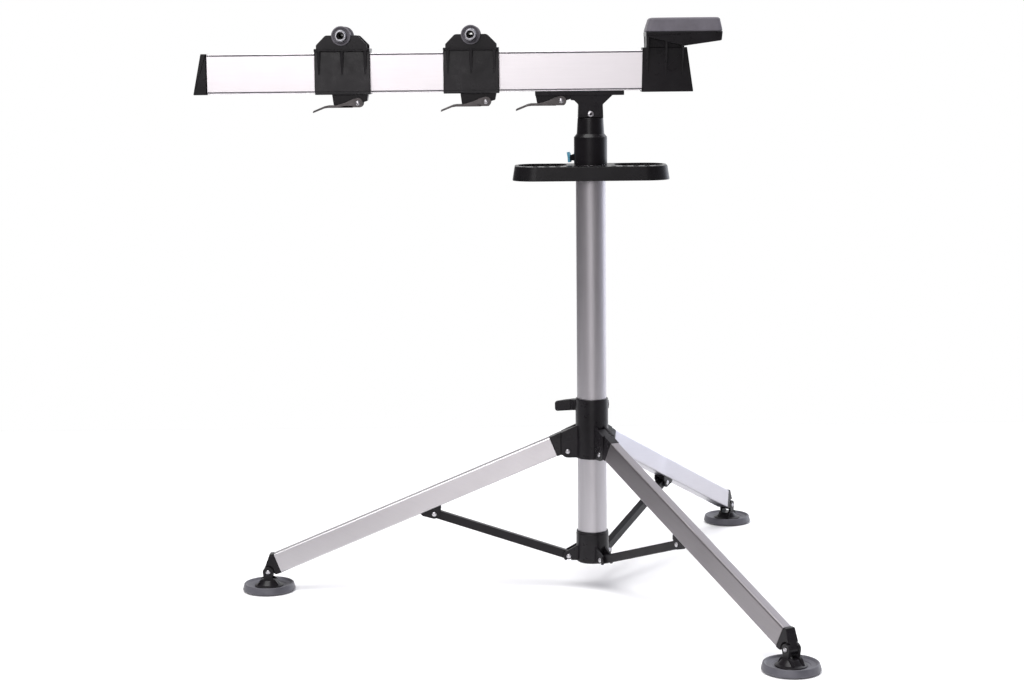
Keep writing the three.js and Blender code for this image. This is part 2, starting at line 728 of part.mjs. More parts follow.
function bracketRest() {
  const { left, halfD, top, bottom, platform } = REST;
  const cover = polygon([[left, bottom], [171, bottom], [160.5, top], [left + 1.5, top]]);
  const neck = polygon([[92, top - 2], [156.5, top - 2], [156.5, platform - 4], [92, platform - 4]]);
  const shelf = polygon([
    [92, platform - 7],
    [156, platform - 24],
    [216.5, platform - 15],
    [218, platform],
    [91.5, platform],
  ]);
  const ribs = [96, 126, 153].flatMap((x) => gussetPair(x, platform - 6, 881, halfD, 38, 5));
  const solid = joined([slab(cover, 2 * halfD), slab(neck, 38), slab(shelf, 80), ...ribs]);
  const c = GAP;
  const socket = block(left - 5, BEAM_RIGHT + c, BEAM_BOTTOM - c, BEAM_TOP + c, -18 - c, 18 + c);
  return cut(solid, [socket]);
}

// The grey pad on the rest: an oblong cushion that tapers to its top.
const PAD = { left: 91.5, right: 218, bottom: REST.platform + GAP, top: 976.5, depth: 80 };

function restPad() {
  const width = PAD.right - PAD.left;
  const plan = roundedRectangle(width, PAD.depth, 7);
  const height = PAD.top - PAD.bottom;
  const pad = slab(plan, height, height / 2, 4).rotateX(-Math.PI / 2);
  const position = pad.getAttribute("position");
  for (let i = 0; i < position.count; i += 1) {
    const up = position.getY(i) / height;
    position.setX(i, position.getX(i) * (1 - 0.1 * up) + 1.4 * up);
    position.setZ(i, position.getZ(i) * (1 - 0.14 * up));
  }
  return pad.translate((PAD.left + PAD.right) / 2, PAD.bottom, 0);
}

// ---------------------------------------------------------------- saddles

const SPOOL = { head: 16, core: 12.4, bore: 10.4, inner: 31.4, outer: 38 };

// A saddle round the beam: a sleeve, a slab over it, and two notched plates that hold the spool.
function saddleBody(rivetX) {
  const halfD = BEAM_HALF_D + SADDLE_WALL + 0.5;
  const top = BEAM_TOP + 5.5;
  const sleeve = block(-SADDLE_HALF_W, SADDLE_HALF_W, BEAM_BOTTOM - 2.5, top - 2, -halfD, halfD);
  const slabPlan = roundedRectangle(2 * SADDLE_HALF_W, 62, 4);
  const cover = slab(slabPlan, 4, 0, 2).rotateX(-Math.PI / 2).translate(0, top - 2, 0);
  const centre = BEAM_TOP + AXLE_UP;
  const notch = SPOOL.core + 0.4;
  const plate = new THREE.Shape();
  plate.moveTo(-42.3, top - 1);
  plate.lineTo(42.3, top - 1);
  plate.lineTo(42.3, BEAM_TOP + 8);
  plate.lineTo(25, BEAM_TOP + 29.5);
  plate.lineTo(notch, BEAM_TOP + 29.5);
  plate.lineTo(notch, centre);
  plate.absarc(0, centre, notch, 0, Math.PI, true);
  plate.lineTo(-notch, BEAM_TOP + 29.5);
  plate.lineTo(-25, BEAM_TOP + 29.5);
  plate.lineTo(-42.3, BEAM_TOP + 8);
  const ribs = [-38.6, 0, 38.6].flatMap((x) => gussetPair(x, top - 3, 881, halfD, 31, 5));
  const plates = ears(plate, { inner: 26.5, outer: 31 });
  const under = camBlock(rivetX, BEAM_BOTTOM - 2);
  const solid = joined([sleeve, cover, ...plates, ...ribs, under]);
  const c = 0.4;
  const edge = SADDLE_HALF_W + 5;
  const passage = block(-edge, edge, BEAM_BOTTOM - c, BEAM_TOP + c, -18 - c, 18 + c);
  return cut(solid, [passage]);
}

// The grey spool that lies in the notches, with a head outside each plate.
function saddleSpool() {
  const { head, core, bore, inner, outer } = SPOOL;
  const half = [
    [core, inner],
    [head, inner],
    [head, outer - 1.2],
    [head - 1.2, outer],
    [bore, outer],
  ];
  const low = half.map(([r, y]) => [r, -y]).reverse();
  return turned([...low, ...half, [bore, -outer]], 24).rotateX(Math.PI / 2);
}

// The axle tube through the spool, as long as the hub that it stands in for. Its bore takes a skewer
// and opens out at each end.
function saddleAxle(length) {
  const half = length / 2;
  const step = half - AXLE.mouthDepth;
  const profile = [
    [AXLE.mouth, -half],
    [8.6, -half],
    [AXLE.outer, -half + 1.6],
    [AXLE.outer, half - 1.6],
    [8.6, half],
    [AXLE.mouth, half],
    [AXLE.mouth, step],
    [AXLE.bore, step],
    [AXLE.bore, -step],
    [AXLE.mouth, -step],
    [AXLE.mouth, -half],
  ];
  return turned(profile, 24).rotateX(Math.PI / 2);
}

function makeSaddle(number, { x, rivet: rivetX, axle }) {
  const group = new THREE.Group();
  group.position.x = x;
  const centre = [0, BEAM_TOP + AXLE_UP];
  const rivetAt = [rivetX, BEAM_BOTTOM - LEVER_DROP];
  group.add(
    meshOf(`saddle_${number}_body`, saddleBody(rivetX), "black_plastic"),
    meshOf(`saddle_${number}_spool`, at(centre, saddleSpool()), "grey_plastic"),
    meshOf(`saddle_${number}_axle_tube`, at(centre, saddleAxle(axle)), "chrome"),
    meshOf(`saddle_${number}_lever`, at(rivetAt, clampLever()), "lever_steel"),
    meshOf(`saddle_${number}_rivet`, at(rivetAt, rivet(LEVER_HALF_W)), "rivet_steel"),
  );
  return group;
}

// ---------------------------------------------------------------- the stand

function makeHead() {
  const rivetAt = [HEAD_LEVER_X, BEAM_BOTTOM - LEVER_DROP];
  const boltAt = [0, NECK_BOLT_Z];
  const head = new THREE.Group();
  head.add(
    meshOf("head_sleeve", headSleeve(), "black_plastic"),
    meshOf("head_bracket", headBracket(), "black_plastic"),
    meshOf("neck_bolt", at(boltAt, rivet(17, RIVET_R, 5.2)), "rivet_steel"),
    meshOf("clamp_shoe", clampShoe(), "black_steel"),
    meshOf("beam_lever", at(rivetAt, clampLever()), "lever_steel"),
    meshOf("beam_lever_rivet", at(rivetAt, rivet(LEVER_HALF_W)), "rivet_steel"),
    meshOf("turn_lock", turnLock(), "blue_plastic"),
    meshOf("tool_tray", toolTray(), "black_plastic"),
  );
  return head;
}

function makeBeam() {
  const beam = new THREE.Group();
  beam.add(
    meshOf("beam_tube", beamTube(), "beam"),
    meshOf("beam_end_cap", beamEndCap(), "black_plastic"),
    meshOf("bracket_rest", bracketRest(), "black_plastic"),
    meshOf("rest_pad", restPad(), "pad_rubber"),
  );
  SADDLES.forEach((saddle, i) => beam.add(makeSaddle(i + 1, saddle)));
  return beam;
}

function makeColumn() {
  const column = new THREE.Group();
  column.add(
    meshOf("column_tube", columnTube(), "aluminium"),
    meshOf("base_collar", baseCollar(), "black_plastic"),
    meshOf("leg_hub", legHub(), "black_plastic"),
    meshOf("hub_bolt", hubBolt(), "rivet_steel"),
    meshOf("hub_lever", hubLever(), "black_plastic"),
  );
  LEG_AZIMUTHS.forEach((azimuth, i) => column.add(makeLeg(i + 1, azimuth)));
  return column;
}

const stand = new THREE.Group();
stand.add(makeColumn(), makeHead(), makeBeam());
stand.rotation.x = Math.PI / 2;
stand.position.x = COLUMN_X;

const part = new THREE.Group();
part.add(stand);

export default part;
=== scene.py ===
"""The looks of a folding bicycle work stand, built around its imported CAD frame.

Pieces are modelled in millimetres in the stand's own axes: x along the beam from the column's
axis, y up from the floor, z towards the front. TO_ROW takes them to the row frame, in metres.
"""

import math

import bmesh
import bpy
from mathutils import Matrix, Vector, geometry


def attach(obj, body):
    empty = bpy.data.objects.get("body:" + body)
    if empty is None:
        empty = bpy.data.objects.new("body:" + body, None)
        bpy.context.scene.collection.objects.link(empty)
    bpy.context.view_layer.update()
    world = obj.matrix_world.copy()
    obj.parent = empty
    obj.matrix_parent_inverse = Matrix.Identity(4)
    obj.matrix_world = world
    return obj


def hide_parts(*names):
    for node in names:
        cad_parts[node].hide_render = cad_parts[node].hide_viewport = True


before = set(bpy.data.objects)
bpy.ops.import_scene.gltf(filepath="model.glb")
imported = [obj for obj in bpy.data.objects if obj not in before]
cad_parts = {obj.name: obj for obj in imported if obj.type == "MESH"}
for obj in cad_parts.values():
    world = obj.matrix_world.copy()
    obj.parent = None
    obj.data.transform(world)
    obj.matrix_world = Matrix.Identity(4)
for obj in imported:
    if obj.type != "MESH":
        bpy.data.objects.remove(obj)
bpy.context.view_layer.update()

PI = math.pi
COLUMN_X = 168.7
MM = 0.001
TO_ROW = Matrix.Scale(MM, 4) @ Matrix(
    ((1, 0, 0, COLUMN_X), (0, 0, -1, 0), (0, 1, 0, 0), (0, 0, 0, 1))
)

# ---------------------------------------------------------------- outlines


def arc(cx, cy, r, start, end, steps=14):
    """Points on a circle from one angle to another, both included."""
    span = [start + (end - start) * k / steps for k in range(steps + 1)]
    return [(cx + r * math.cos(a), cy + r * math.sin(a)) for a in span]


def circle(cx, cy, r, steps):
    return arc(cx, cy, r, 0, 2 * PI * (steps - 1) / steps, steps - 1)


def fillet(before, corner, after, r, steps):
    """The points that round one corner with radius r, fewer for a shallow corner."""
    p = Vector(corner)
    u, v = Vector(before) - p, Vector(after) - p
    room = 0.49 * min(u.length, v.length)
    u.normalize()
    v.normalize()
    half = math.acos(max(-1, min(1, u.dot(v)))) / 2
    if half > PI / 2 - 0.03 or half < 0.03:
        return [corner]
    reach = min(r / math.tan(half), room)
    r = reach * math.tan(half)
    centre = p + (u + v).normalized() * (r / math.sin(half))
    a = p + u * reach - centre
    b = p + v * reach - centre
    start, turn = math.atan2(a.y, a.x), math.atan2(a.x * b.y - a.y * b.x, a.dot(b))
    count = max(1, math.ceil(abs(turn) / (PI / 2) * steps))
    return arc(centre.x, centre.y, r, start, start + turn, count)


def rounded(points, radius=0.0, steps=6, closed=True):
    """An outline with its corners rounded; a third number of a point is its own radius."""
    out = []
    count = len(points)
    for i, (x, y, *own) in enumerate(points):
        r = own[0] if own else radius
        inner = closed or 0 < i < count - 1
        if r <= 0 or not inner:
            out.append((x, y))
            continue
        before, after = points[i - 1][:2], points[(i + 1) % count][:2]
        out += fillet(before, (x, y), after, r, steps)
    return out


def box_outline(x0, x1, y0, y1, radius, steps):
    return rounded([(x0, y0), (x1, y0), (x1, y1), (x0, y1)], radius, steps)


def wound(loop, sense):
    """The loop in the asked sense: 1 is anticlockwise."""
    area = sum(a[0] * b[1] - a[1] * b[0] for a, b in zip(loop, loop[1:] + loop[:1]))
    return loop if area * sense > 0 else loop[::-1]


def inset(loop, distance):
    """The loop moved to its left by a distance, with mitred corners."""
    out = []
    count = len(loop)
    for i in range(count):
        p, q, s = Vector(loop[i - 1]), Vector(loop[i]), Vector(loop[(i + 1) % count])
        d, e = (q - p).normalized(), (s - q).normalized()
        m, n = Vector((-d.y, d.x)), Vector((-e.y, e.x))
        q = q + (m + n) * (distance / max(0.3, 1 + m.dot(n)))
        out.append((q.x, q.y))
    return out


# ---------------------------------------------------------------- solids, added to a bmesh


def skin(bm, rings, closed=False):
    """Faces between rings of vertices; a ring of one vertex is a pole."""
    pairs = list(zip(rings, rings[1:]))
    if closed:
        pairs.append((rings[-1], rings[0]))
    for a, b in pairs:
        count = max(len(a), len(b))
        for i in range(count):
            j = (i + 1) % count
            corners = [a[i % len(a)], a[j % len(a)], b[j % len(b)], b[i % len(b)]]
            face = list(dict.fromkeys(corners))
            if len(face) > 2:
                bm.faces.new(face)


def prism(bm, outline, lo, hi, bevel=0.6, holes=(), place=None, warp=None, steps=3):
    """An outline with holes in x-y, from z = lo to hi, its rims rounded."""
    levels = [(lo, 0.0)]
    if bevel > 0:
        turns = [PI / 2 * k / steps for k in range(steps + 1)]
        levels = [(lo + bevel * (1 - math.cos(t)), bevel * (1 - math.sin(t))) for t in turns]
    levels += [(lo + hi - z, d) for z, d in reversed(levels)]
    loops = [wound(outline, 1), *[wound(h, -1) for h in holes]]
    ends = []
    for loop in loops:
        rings = []
        for z, d in levels:
            ring = []
            for x, y in inset(loop, d) if d else loop:
                p = Vector((x, y, z))
                if warp:
                    p = Vector(warp(x, y, z))
                ring.append(bm.verts.new(place @ p if place else p))
            rings.append(ring)
        skin(bm, rings)
        ends.append((rings[0], rings[-1]))
    for side in (0, 1):
        caps = [pair[side] for pair in ends]
        if len(caps) == 1:
            bm.faces.new(caps[0])
            continue
        flat = [v for ring in caps for v in ring]
        depth = levels[0][1]
        plan = [[Vector((*p, 0)) for p in inset(loop, depth)] for loop in loops]
        for tri in geometry.tessellate_polygon(plan):
            bm.faces.new([flat[i] for i in tri])
    return bm


def lathe(bm, profile, sides, place=None, closed=False):
    """A solid turned about y from [radius, height] points; it is a ring where closed."""
    rings = []
    for r, y in profile:
        turns = [2 * PI * k / sides for k in range(sides)] if r > 1e-6 else [0.0]
        points = [Vector((r * math.cos(t), y, -r * math.sin(t))) for t in turns]
        rings.append([bm.verts.new(place @ p if place else p) for p in points])
    skin(bm, rings, closed)
    if not closed:
        for ring in (rings[0], rings[-1]):
            if len(ring) > 2:
                bm.faces.new(ring)
    return bm


def block(bm, x0, x1, y0, y1, z0, z1, bevel, corner, place=None):
    return prism(bm, box_outline(x0, x1, y0, y1, corner, 3), z0, z1, bevel, place=place)


# Places for a prism: drawn in z-y to run along x, laid flat, and turned to the stand's back
ALONG_X = Matrix(((0, 0, 1, 0), (0, 1, 0, 0), (-1, 0, 0, 0), (0, 0, 0, 1)))
FLAT = Matrix.Rotation(-PI / 2, 4, "X")
HALF_TURN = Matrix.Rotation(PI, 4, "Y")


def about_y(azimuth):
    return Matrix.Rotation(math.radians(azimuth), 4, "Y")


def along_z(x, y):
    """Places something turned about y so that its axis runs along z through (x, y)."""
    return Matrix.Translation((x, y, 0)) @ Matrix.Rotation(PI / 2, 4, "X")


def along_x(x, y, z):
    return Matrix.Translation((x, y, z)) @ Matrix.Rotation(-PI / 2, 4, "Z")


def carve(bm, cutter):
    """The first solid less the second, as a new bmesh."""
    objects = []
    for solid in (bm, cutter):
        bmesh.ops.recalc_face_normals(solid, faces=solid.faces)
        mesh = bpy.data.meshes.new("carving")
        solid.to_mesh(mesh)
        solid.free()
        thing = bpy.data.objects.new("carving", mesh)
        bpy.context.scene.collection.objects.link(thing)
        objects.append(thing)
    base, tool = objects
    step = base.modifiers.new("cut", "BOOLEAN")
    step.operation, step.solver, step.object = "DIFFERENCE", "EXACT", tool
    step.use_self = True
    bpy.context.view_layer.update()
    done = bpy.data.meshes.new_from_object(base.evaluated_get(bpy.context.evaluated_depsgraph_get()))
    out = bmesh.new()
    out.from_mesh(done)
    for thing in objects:
        bpy.data.objects.remove(thing)
    bmesh.ops.remove_doubles(out, verts=out.verts, dist=0.002)
    return out


MATERIALS = {}


def piece(name, bm, body, slot, *nodes, sharp=38):
    """Makes an object of a bmesh in stand millimetres: smooth, riding on its body."""
    bmesh.ops.recalc_face_normals(bm, faces=bm.faces)
    bm.transform(TO_ROW)
    limit = math.radians(sharp)
    for face in bm.faces:
        face.smooth = True
    for edge in bm.edges:
        edge.smooth = len(edge.link_faces) != 2 or edge.calc_face_angle(0) < limit
    mesh = bpy.data.meshes.new(name)
    bm.to_mesh(mesh)
    bm.free()
    mesh.materials.append(MATERIALS[slot])
    thing = bpy.data.objects.new(name, mesh)
    bpy.context.scene.collection.objects.link(thing)
    normals = thing.modifiers.new("normals", "WEIGHTED_NORMAL")
    normals.keep_sharp = True
    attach(thing, body)
    if nodes:
        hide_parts(*nodes)
    return thing


# ---------------------------------------------------------------- the legs' linkage

# Each pivot is given by its distance from the column's axis and its height
LEG_AZIMUTHS = {1: 180, 2: -60, 3: 60}
HUB_PIVOT = (41.8, 243)
FOOT_PIVOT = (562.3, 34)
COLLAR_PIVOT = (41.3, 58.7)
BRACKET_PIVOT = (272.8, 134.7)
LEG_SLOPE = math.atan2(HUB_PIVOT[1] - FOOT_PIVOT[1], FOOT_PIVOT[0] - HUB_PIVOT[0])
TUBE_SLOPE = LEG_SLOPE + 0.0154

# ---------------------------------------------------------------- materials


def shader(name, color, metallic, roughness, **sockets):
    """A new material and its principled shader, with settings for the shader's own sockets."""
    material = bpy.data.materials.new(name)
    material.use_nodes = True
    bsdf = material.node_tree.nodes["Principled BSDF"]
    bsdf.inputs["Base Color"].default_value = (*color, 1)
    bsdf.inputs["Metallic"].default_value = metallic
    bsdf.inputs["Roughness"].default_value = roughness
    for socket, value in sockets.items():
        bsdf.inputs[socket.replace("_", " ")].default_value = value
    return material, bsdf


def node(material, kind, **inputs):
    made = material.node_tree.nodes.new(kind)
    for socket, value in inputs.items():
        made.inputs[socket.replace("_", " ")].default_value = value
    return made


def join(material, source, target):
    material.node_tree.links.new(source, target)


def noise(material, scale, detail, stretch=None, turn=(0, 0, 0), roughness=0.5):
    """Noise in the row frame, stretched by a scale per axis after a turn."""
    coordinates = node(material, "ShaderNodeTexCoord")
    mapping = node(material, "ShaderNodeMapping")
    mapping.inputs["Rotation"].default_value = turn
    texture = node(material, "ShaderNodeTexNoise", Scale=scale, Detail=detail, Roughness=roughness)
    source = coordinates.outputs["Object"]
    join(material, source, mapping.inputs["Vector"])
    vector = mapping.outputs["Vector"]
    if stretch:
        second = node(material, "ShaderNodeMapping")
        second.inputs["Scale"].default_value = stretch
        join(material, vector, second.inputs["Vector"])
        vector = second.outputs["Vector"]
    join(material, vector, texture.inputs["Vector"])
    return texture.outputs["Fac"]


def remap(material, fac, low, high, start=0.3, end=0.7):
    """Fac between start and end taken to low to high."""
    ramp = node(material, "ShaderNodeMapRange")
    for key, value in (("From Min", start), ("From Max", end), ("To Min", low), ("To Max", high)):
        ramp.inputs[key].default_value = value
    join(material, fac, ramp.inputs["Value"])
    return ramp.outputs["Result"]


def two_tone(material, bsdf, fac, dark, light):
    ramp = node(material, "ShaderNodeValToRGB")
    ramp.color_ramp.elements[0].position = 0.3
    ramp.color_ramp.elements[1].position = 0.72
    ramp.color_ramp.elements[0].color = (*dark, 1)
    ramp.color_ramp.elements[1].color = (*light, 1)
    join(material, fac, ramp.inputs["Fac"])
    join(material, ramp.outputs["Color"], bsdf.inputs["Base Color"])
    return ramp


def bumped(material, bsdf, heights, distance):
    """Bump from one or more (height, strength), one on the other."""
    normal = None
    for height, strength in heights:
        bump = node(material, "ShaderNodeBump", Strength=strength, Distance=distance)
        join(material, height, bump.inputs["Height"])
        if normal:
            join(material, normal, bump.inputs["Normal"])
        normal = bump.outputs["Normal"]
    join(material, normal, bsdf.inputs["Normal"])


def tinted(color, gain):
    return tuple(min(1, c * gain) for c in color)


def moulded(name, color, roughness=0.3, grain=2600):
    """Moulded plastic: a fine spark-eroded grain, uneven sheen and faint flow tone."""
    material, bsdf = shader(name, color, 0, roughness, Specular_IOR_Level=0.19)
    broad = noise(material, 28, detail=4)
    two_tone(material, bsdf, broad, tinted(color, 0.8), tinted(color, 1.35))
    sheen = noise(material, 70, detail=5, roughness=0.6)
    uneven = remap(material, sheen, roughness - 0.05, roughness + 0.05)
    join(material, uneven, bsdf.inputs["Roughness"])
    fine = noise(material, grain, detail=2)
    waves = noise(material, 180, detail=2)
    bumped(material, bsdf, [(fine, 0.02), (waves, 0.015)], 0.0003)
    return material


def extruded(name, color, roughness, contrast, turn=(0, 0, 0), along=(1, 20, 20)):
    """Anodised aluminium with die lines along one axis and a soft mottle."""
    material, bsdf = shader(name, color, 1, roughness, Anisotropic=0.35)
    lines = noise(material, 14, stretch=along, turn=turn, detail=4, roughness=0.6)
    two_tone(material, bsdf, lines, tinted(color, 1 - contrast), tinted(color, 1 + contrast))
    mottle = noise(material, 40, detail=4)
    join(material, remap(material, mottle, roughness - 0.015, roughness + 0.02), bsdf.inputs["Roughness"])
    bumped(material, bsdf, [(lines, 0.006)], 0.0001)
    return material


def pressed_steel(name, color, roughness, contrast=0.2):
    """Plated pressed steel: cloudy tone, fine scratches."""
    material, bsdf = shader(name, color, 1, roughness)
    cloud = noise(material, 60, detail=6, roughness=0.65)
    two_tone(material, bsdf, cloud, tinted(color, 1 - contrast), tinted(color, 1 + contrast))
    scratch = noise(material, 160, stretch=(1, 9, 9), detail=5, roughness=0.8)
    join(material, remap(material, scratch, roughness - 0.08, roughness + 0.12), bsdf.inputs["Roughness"])
    bumped(material, bsdf, [(scratch, 0.08)], 0.0002)
    return material


def rubber(name, color, roughness):
    """Matte rubber: pores, a soft dusty bloom."""
    material, bsdf = shader(name, color, 0, roughness, Sheen_Weight=0.12, Sheen_Roughness=0.5)
    bloom = noise(material, 45, detail=6, roughness=0.62)
    two_tone(material, bsdf, bloom, tinted(color, 0.82), tinted(color, 1.28))
    join(material, remap(material, bloom, roughness - 0.08, roughness + 0.1), bsdf.inputs["Roughness"])
    pores = noise(material, 1900, detail=3)
    bumped(material, bsdf, [(pores, 0.22)], 0.0004)
    return material


MATERIALS["column_aluminium"] = extruded(
    "drawn_column", (0.45, 0.435, 0.455), along=(20, 20, 1), roughness=0.44, contrast=0.03
)
MATERIALS["beam_aluminium"] = extruded("bright_beam", (0.92, 0.89, 0.91), roughness=0.42, contrast=0.015)
MATERIALS["moulded_black"] = moulded("moulded_black", (0.0085, 0.0075, 0.009))
MATERIALS["tray_black"] = moulded("tray_black", (0.0075, 0.007, 0.008), roughness=0.34)
MATERIALS["black_steel"] = moulded("coated_steel", (0.008, 0.007, 0.0085), roughness=0.4, grain=1400)
MATERIALS["lever_steel"] = pressed_steel("plated_lever", (0.095, 0.088, 0.088), 0.36)
MATERIALS["rivet_steel"] = pressed_steel("zinc_rivet", (0.5, 0.49, 0.51), 0.28, contrast=0.12)
MATERIALS["sole_rubber"] = rubber("sole_rubber", (0.066, 0.065, 0.078), roughness=0.5)
MATERIALS["pad_rubber"] = rubber("pad_rubber", (0.112, 0.104, 0.124), roughness=0.68)
MATERIALS["spool_grey"] = moulded("spool_grey", (0.135, 0.128, 0.145), roughness=0.42)
MATERIALS["axle_chrome"] = pressed_steel("axle_chrome", (0.30, 0.30, 0.32), 0.3, contrast=0.04)
MATERIALS["lock_blue"] = moulded("lock_blue", (0.16, 0.48, 0.66), roughness=0.45)


# painted light and shade: one aluminium given a lighter or darker tone per leg, by how the light falls on
# that leg
LEG_LIGHT_AND_SHADE_TONES = {1: (0.50, 0.485, 0.50), 2: (0.27, 0.255, 0.265), 3: (0.44, 0.43, 0.46)}


def leg_material(number):
    """The leg tubes' aluminium, its die lines along that leg; each leg's tone is painted light and shade."""
    turn = (0, -TUBE_SLOPE, -math.radians(LEG_AZIMUTHS[number]))
    return extruded(f"leg_{number}_aluminium", LEG_LIGHT_AND_SHADE_TONES[number], turn=turn, roughness=0.33, contrast=0.02)


# ---------------------------------------------------------------- common fittings


def rivet(bm, x, y, reach, radius=3.0, head=4.0, dome=1.5, place=None):
    """A rivet along z with a low domed head on each end."""
    spot = along_z(x, y)
    if place:
        spot = place @ spot
    under = reach + 0.15
    cap = [(head, under), (head, under + 0.45)]
    cap += [(head * math.cos(t), under + 0.45 + dome * math.sin(t)) for t in (0.25, 0.5, 0.8, 1.1, 1.35)]
    cap.append((0, under + 0.45 + dome))
    low = [(r, -h) for r, h in reversed(cap)]
    return lathe(bm, [*low, (radius, -under), (radius, under), *cap], 40, place=spot)


# ---------------------------------------------------------------- column and base collar

bm = bmesh.new()
lathe(bm, rounded([(23, 51.4), (25, 51.4), (25, 777), (23, 777)], 0.5, 3), 128, closed=True)
piece("column", bm, "column", "column_aluminium", "column_tube")

COLLAR_SLOT = 3.3
bm = bmesh.new()
lathe(
    bm,
    rounded(
        [
            (0, 48), (25.6, 48, 1.5), (28, 50.4, 1.2), (28, 98.6, 1), (27.4, 99.6, 0.8),
            (27.4, 103, 0.9), (25.3, 103, 0.4), (25.3, 51.2), (0, 51.2),
        ],
        closed=False,
    ),
    112,
)
x, y = COLLAR_PIVOT
ear = [(24, 77), (24, 51.4), (x - COLLAR_SLOT - 0.9, 51.4), (x - COLLAR_SLOT, y - 0.8)]
ear += arc(x, y, COLLAR_SLOT, PI, 0)
ear += [(x + COLLAR_SLOT, y - 7.2)]
ear += arc(x, y, 9.4, -0.87, 0.9)
ear += [(28, 77)]
for azimuth in LEG_AZIMUTHS.values():
    for side in (-1, 1):
        span = sorted((side * 7, side * 11))
        prism(bm, ear, *span, 0.5, place=about_y(azimuth))
piece("collar", bm, "column", "moulded_black", "base_collar")

# ---------------------------------------------------------------- sliding hub, bolt and lever

CLAMP_Y, CLAMP_Z = 317, -34
bm = bmesh.new()
lathe(
    bm,
    rounded([(25.5, 231), (28, 231, 1), (28, 334, 1.6), (25.5, 334, 0.4)], 0.3, 4),
    112,
    closed=True,
)
block(bm, -19, 25, CLAMP_Y - 11, CLAMP_Y + 11, CLAMP_Z - 7, -26, 1.2, 2.5)
cutter = bmesh.new()
block(cutter, -1.5, 1.5, CLAMP_Y - 17, 345, -50, -15, 0, 0)
bm = carve(bm, cutter)
cover = [(3.3, 24.5), (9.6, 24.5), (9.6, 27.2, 1.2), (7, 30.4, 1.4), (3.3, 30.4, 0.4)]
lathe(bm, rounded(cover, steps=4), 56, place=along_x(0, CLAMP_Y, CLAMP_Z), closed=True)
x, y = HUB_PIVOT
ear = rounded([(24, 232), (x, 232)], closed=False) + arc(x, y, 11, -PI / 2, 0)
ear += fillet((x + 11, y), (x + 11, 276), (28, 287.2), 1.2, 4)
ear += [(28, 287.2), (24, 289)]
for azimuth in LEG_AZIMUTHS.values():
    for side in (-1, 1):
        span = sorted((side * 7.3, side * 11.8))
        prism(bm, ear, *span, 0.6, place=about_y(azimuth))
piece("hub", bm, "hub", "moulded_black", "leg_hub")

bm = bmesh.new()
lathe(bm, [(0, -28.5), (3, -28.5), (3, 30.4), (2.4, 31), (0, 31)], 24, place=along_x(0, CLAMP_Y, CLAMP_Z))
lathe(bm, [(0, -8), (3, -8), (3, 8), (0, 8)], 24, place=Matrix.Translation((-28.5, CLAMP_Y, CLAMP_Z)))
piece("clamp_bolt", bm, "hub", "rivet_steel", "hub_bolt")

# The quick-release lever: a tall cam and a flat curved handle that is deepest at its root
CAM_X, CAM_R = -28.5, 8.7
HANDLE_END = -63


def bent_handle(px, py, pz):
    t = (CAM_X - px) / (CAM_X - HANDLE_END)
    return px, py, pz - 3.4 * math.sin(PI * min(1, max(0, t)) * 0.9)


bm = bmesh.new()
outline = rounded(
    [
        (CAM_X, 307.2, 0.5), (CAM_X, 327, 0.5), (-44, 325.2, 20),
        (HANDLE_END, 322.4, 5), (HANDLE_END + 0.4, 305.4, 5), (-44, 306.2, 12),
    ],
    steps=8,
)
prism(bm, outline, CLAMP_Z - 4, CLAMP_Z + 4, 1.6, warp=bent_handle)
lathe(
    bm,
    rounded([(0, 308), (CAM_R, 308, 1.4), (CAM_R, 326.4, 1.4), (0, 326.4)], steps=4, closed=False),
    56,
    place=Matrix.Translation((CAM_X, 0, CLAMP_Z)),
)
piece("hub_quick_lever", bm, "hub_lever", "moulded_black", "hub_lever")

# ---------------------------------------------------------------- legs


def from_tube(along, up):
    """A point along and square to the leg tube, as distance from the column and height."""
    c, s = math.cos(TUBE_SLOPE), math.sin(TUBE_SLOPE)
    return HUB_PIVOT[0] + along * c + up * s, HUB_PIVOT[1] - along * s + up * c


def to_tube(point):
    dx, dy = point[0] - HUB_PIVOT[0], point[1] - HUB_PIVOT[1]
    c, s = math.cos(TUBE_SLOPE), math.sin(TUBE_SLOPE)
    return dx * c - dy * s, dx * s + dy * c


TUBE_START, TUBE_END = 20, 539.3
TUBE_LOW, TUBE_HIGH = -0.7, 34.3
TUBE_HALF = 12
TOP_HALF = 8.5
GAP = 0.3  # between parts that touch
PLUG_IN = 2.6  # from the tube's outside to the plug in it
ON_TUBE = Matrix.Translation((*HUB_PIVOT, 0)) @ Matrix.Rotation(-TUBE_SLOPE, 4, "Z")


def tapered(px, py, pz):
    """The leg's moulded ends narrow upwards as the tube does."""
    rise = max(0.0, min(1.0, (to_tube((px, py))[1] - TUBE_LOW) / (TUBE_HIGH - TUBE_LOW)))
    return px, py, pz * (1 + (TOP_HALF / TUBE_HALF - 1) * rise)


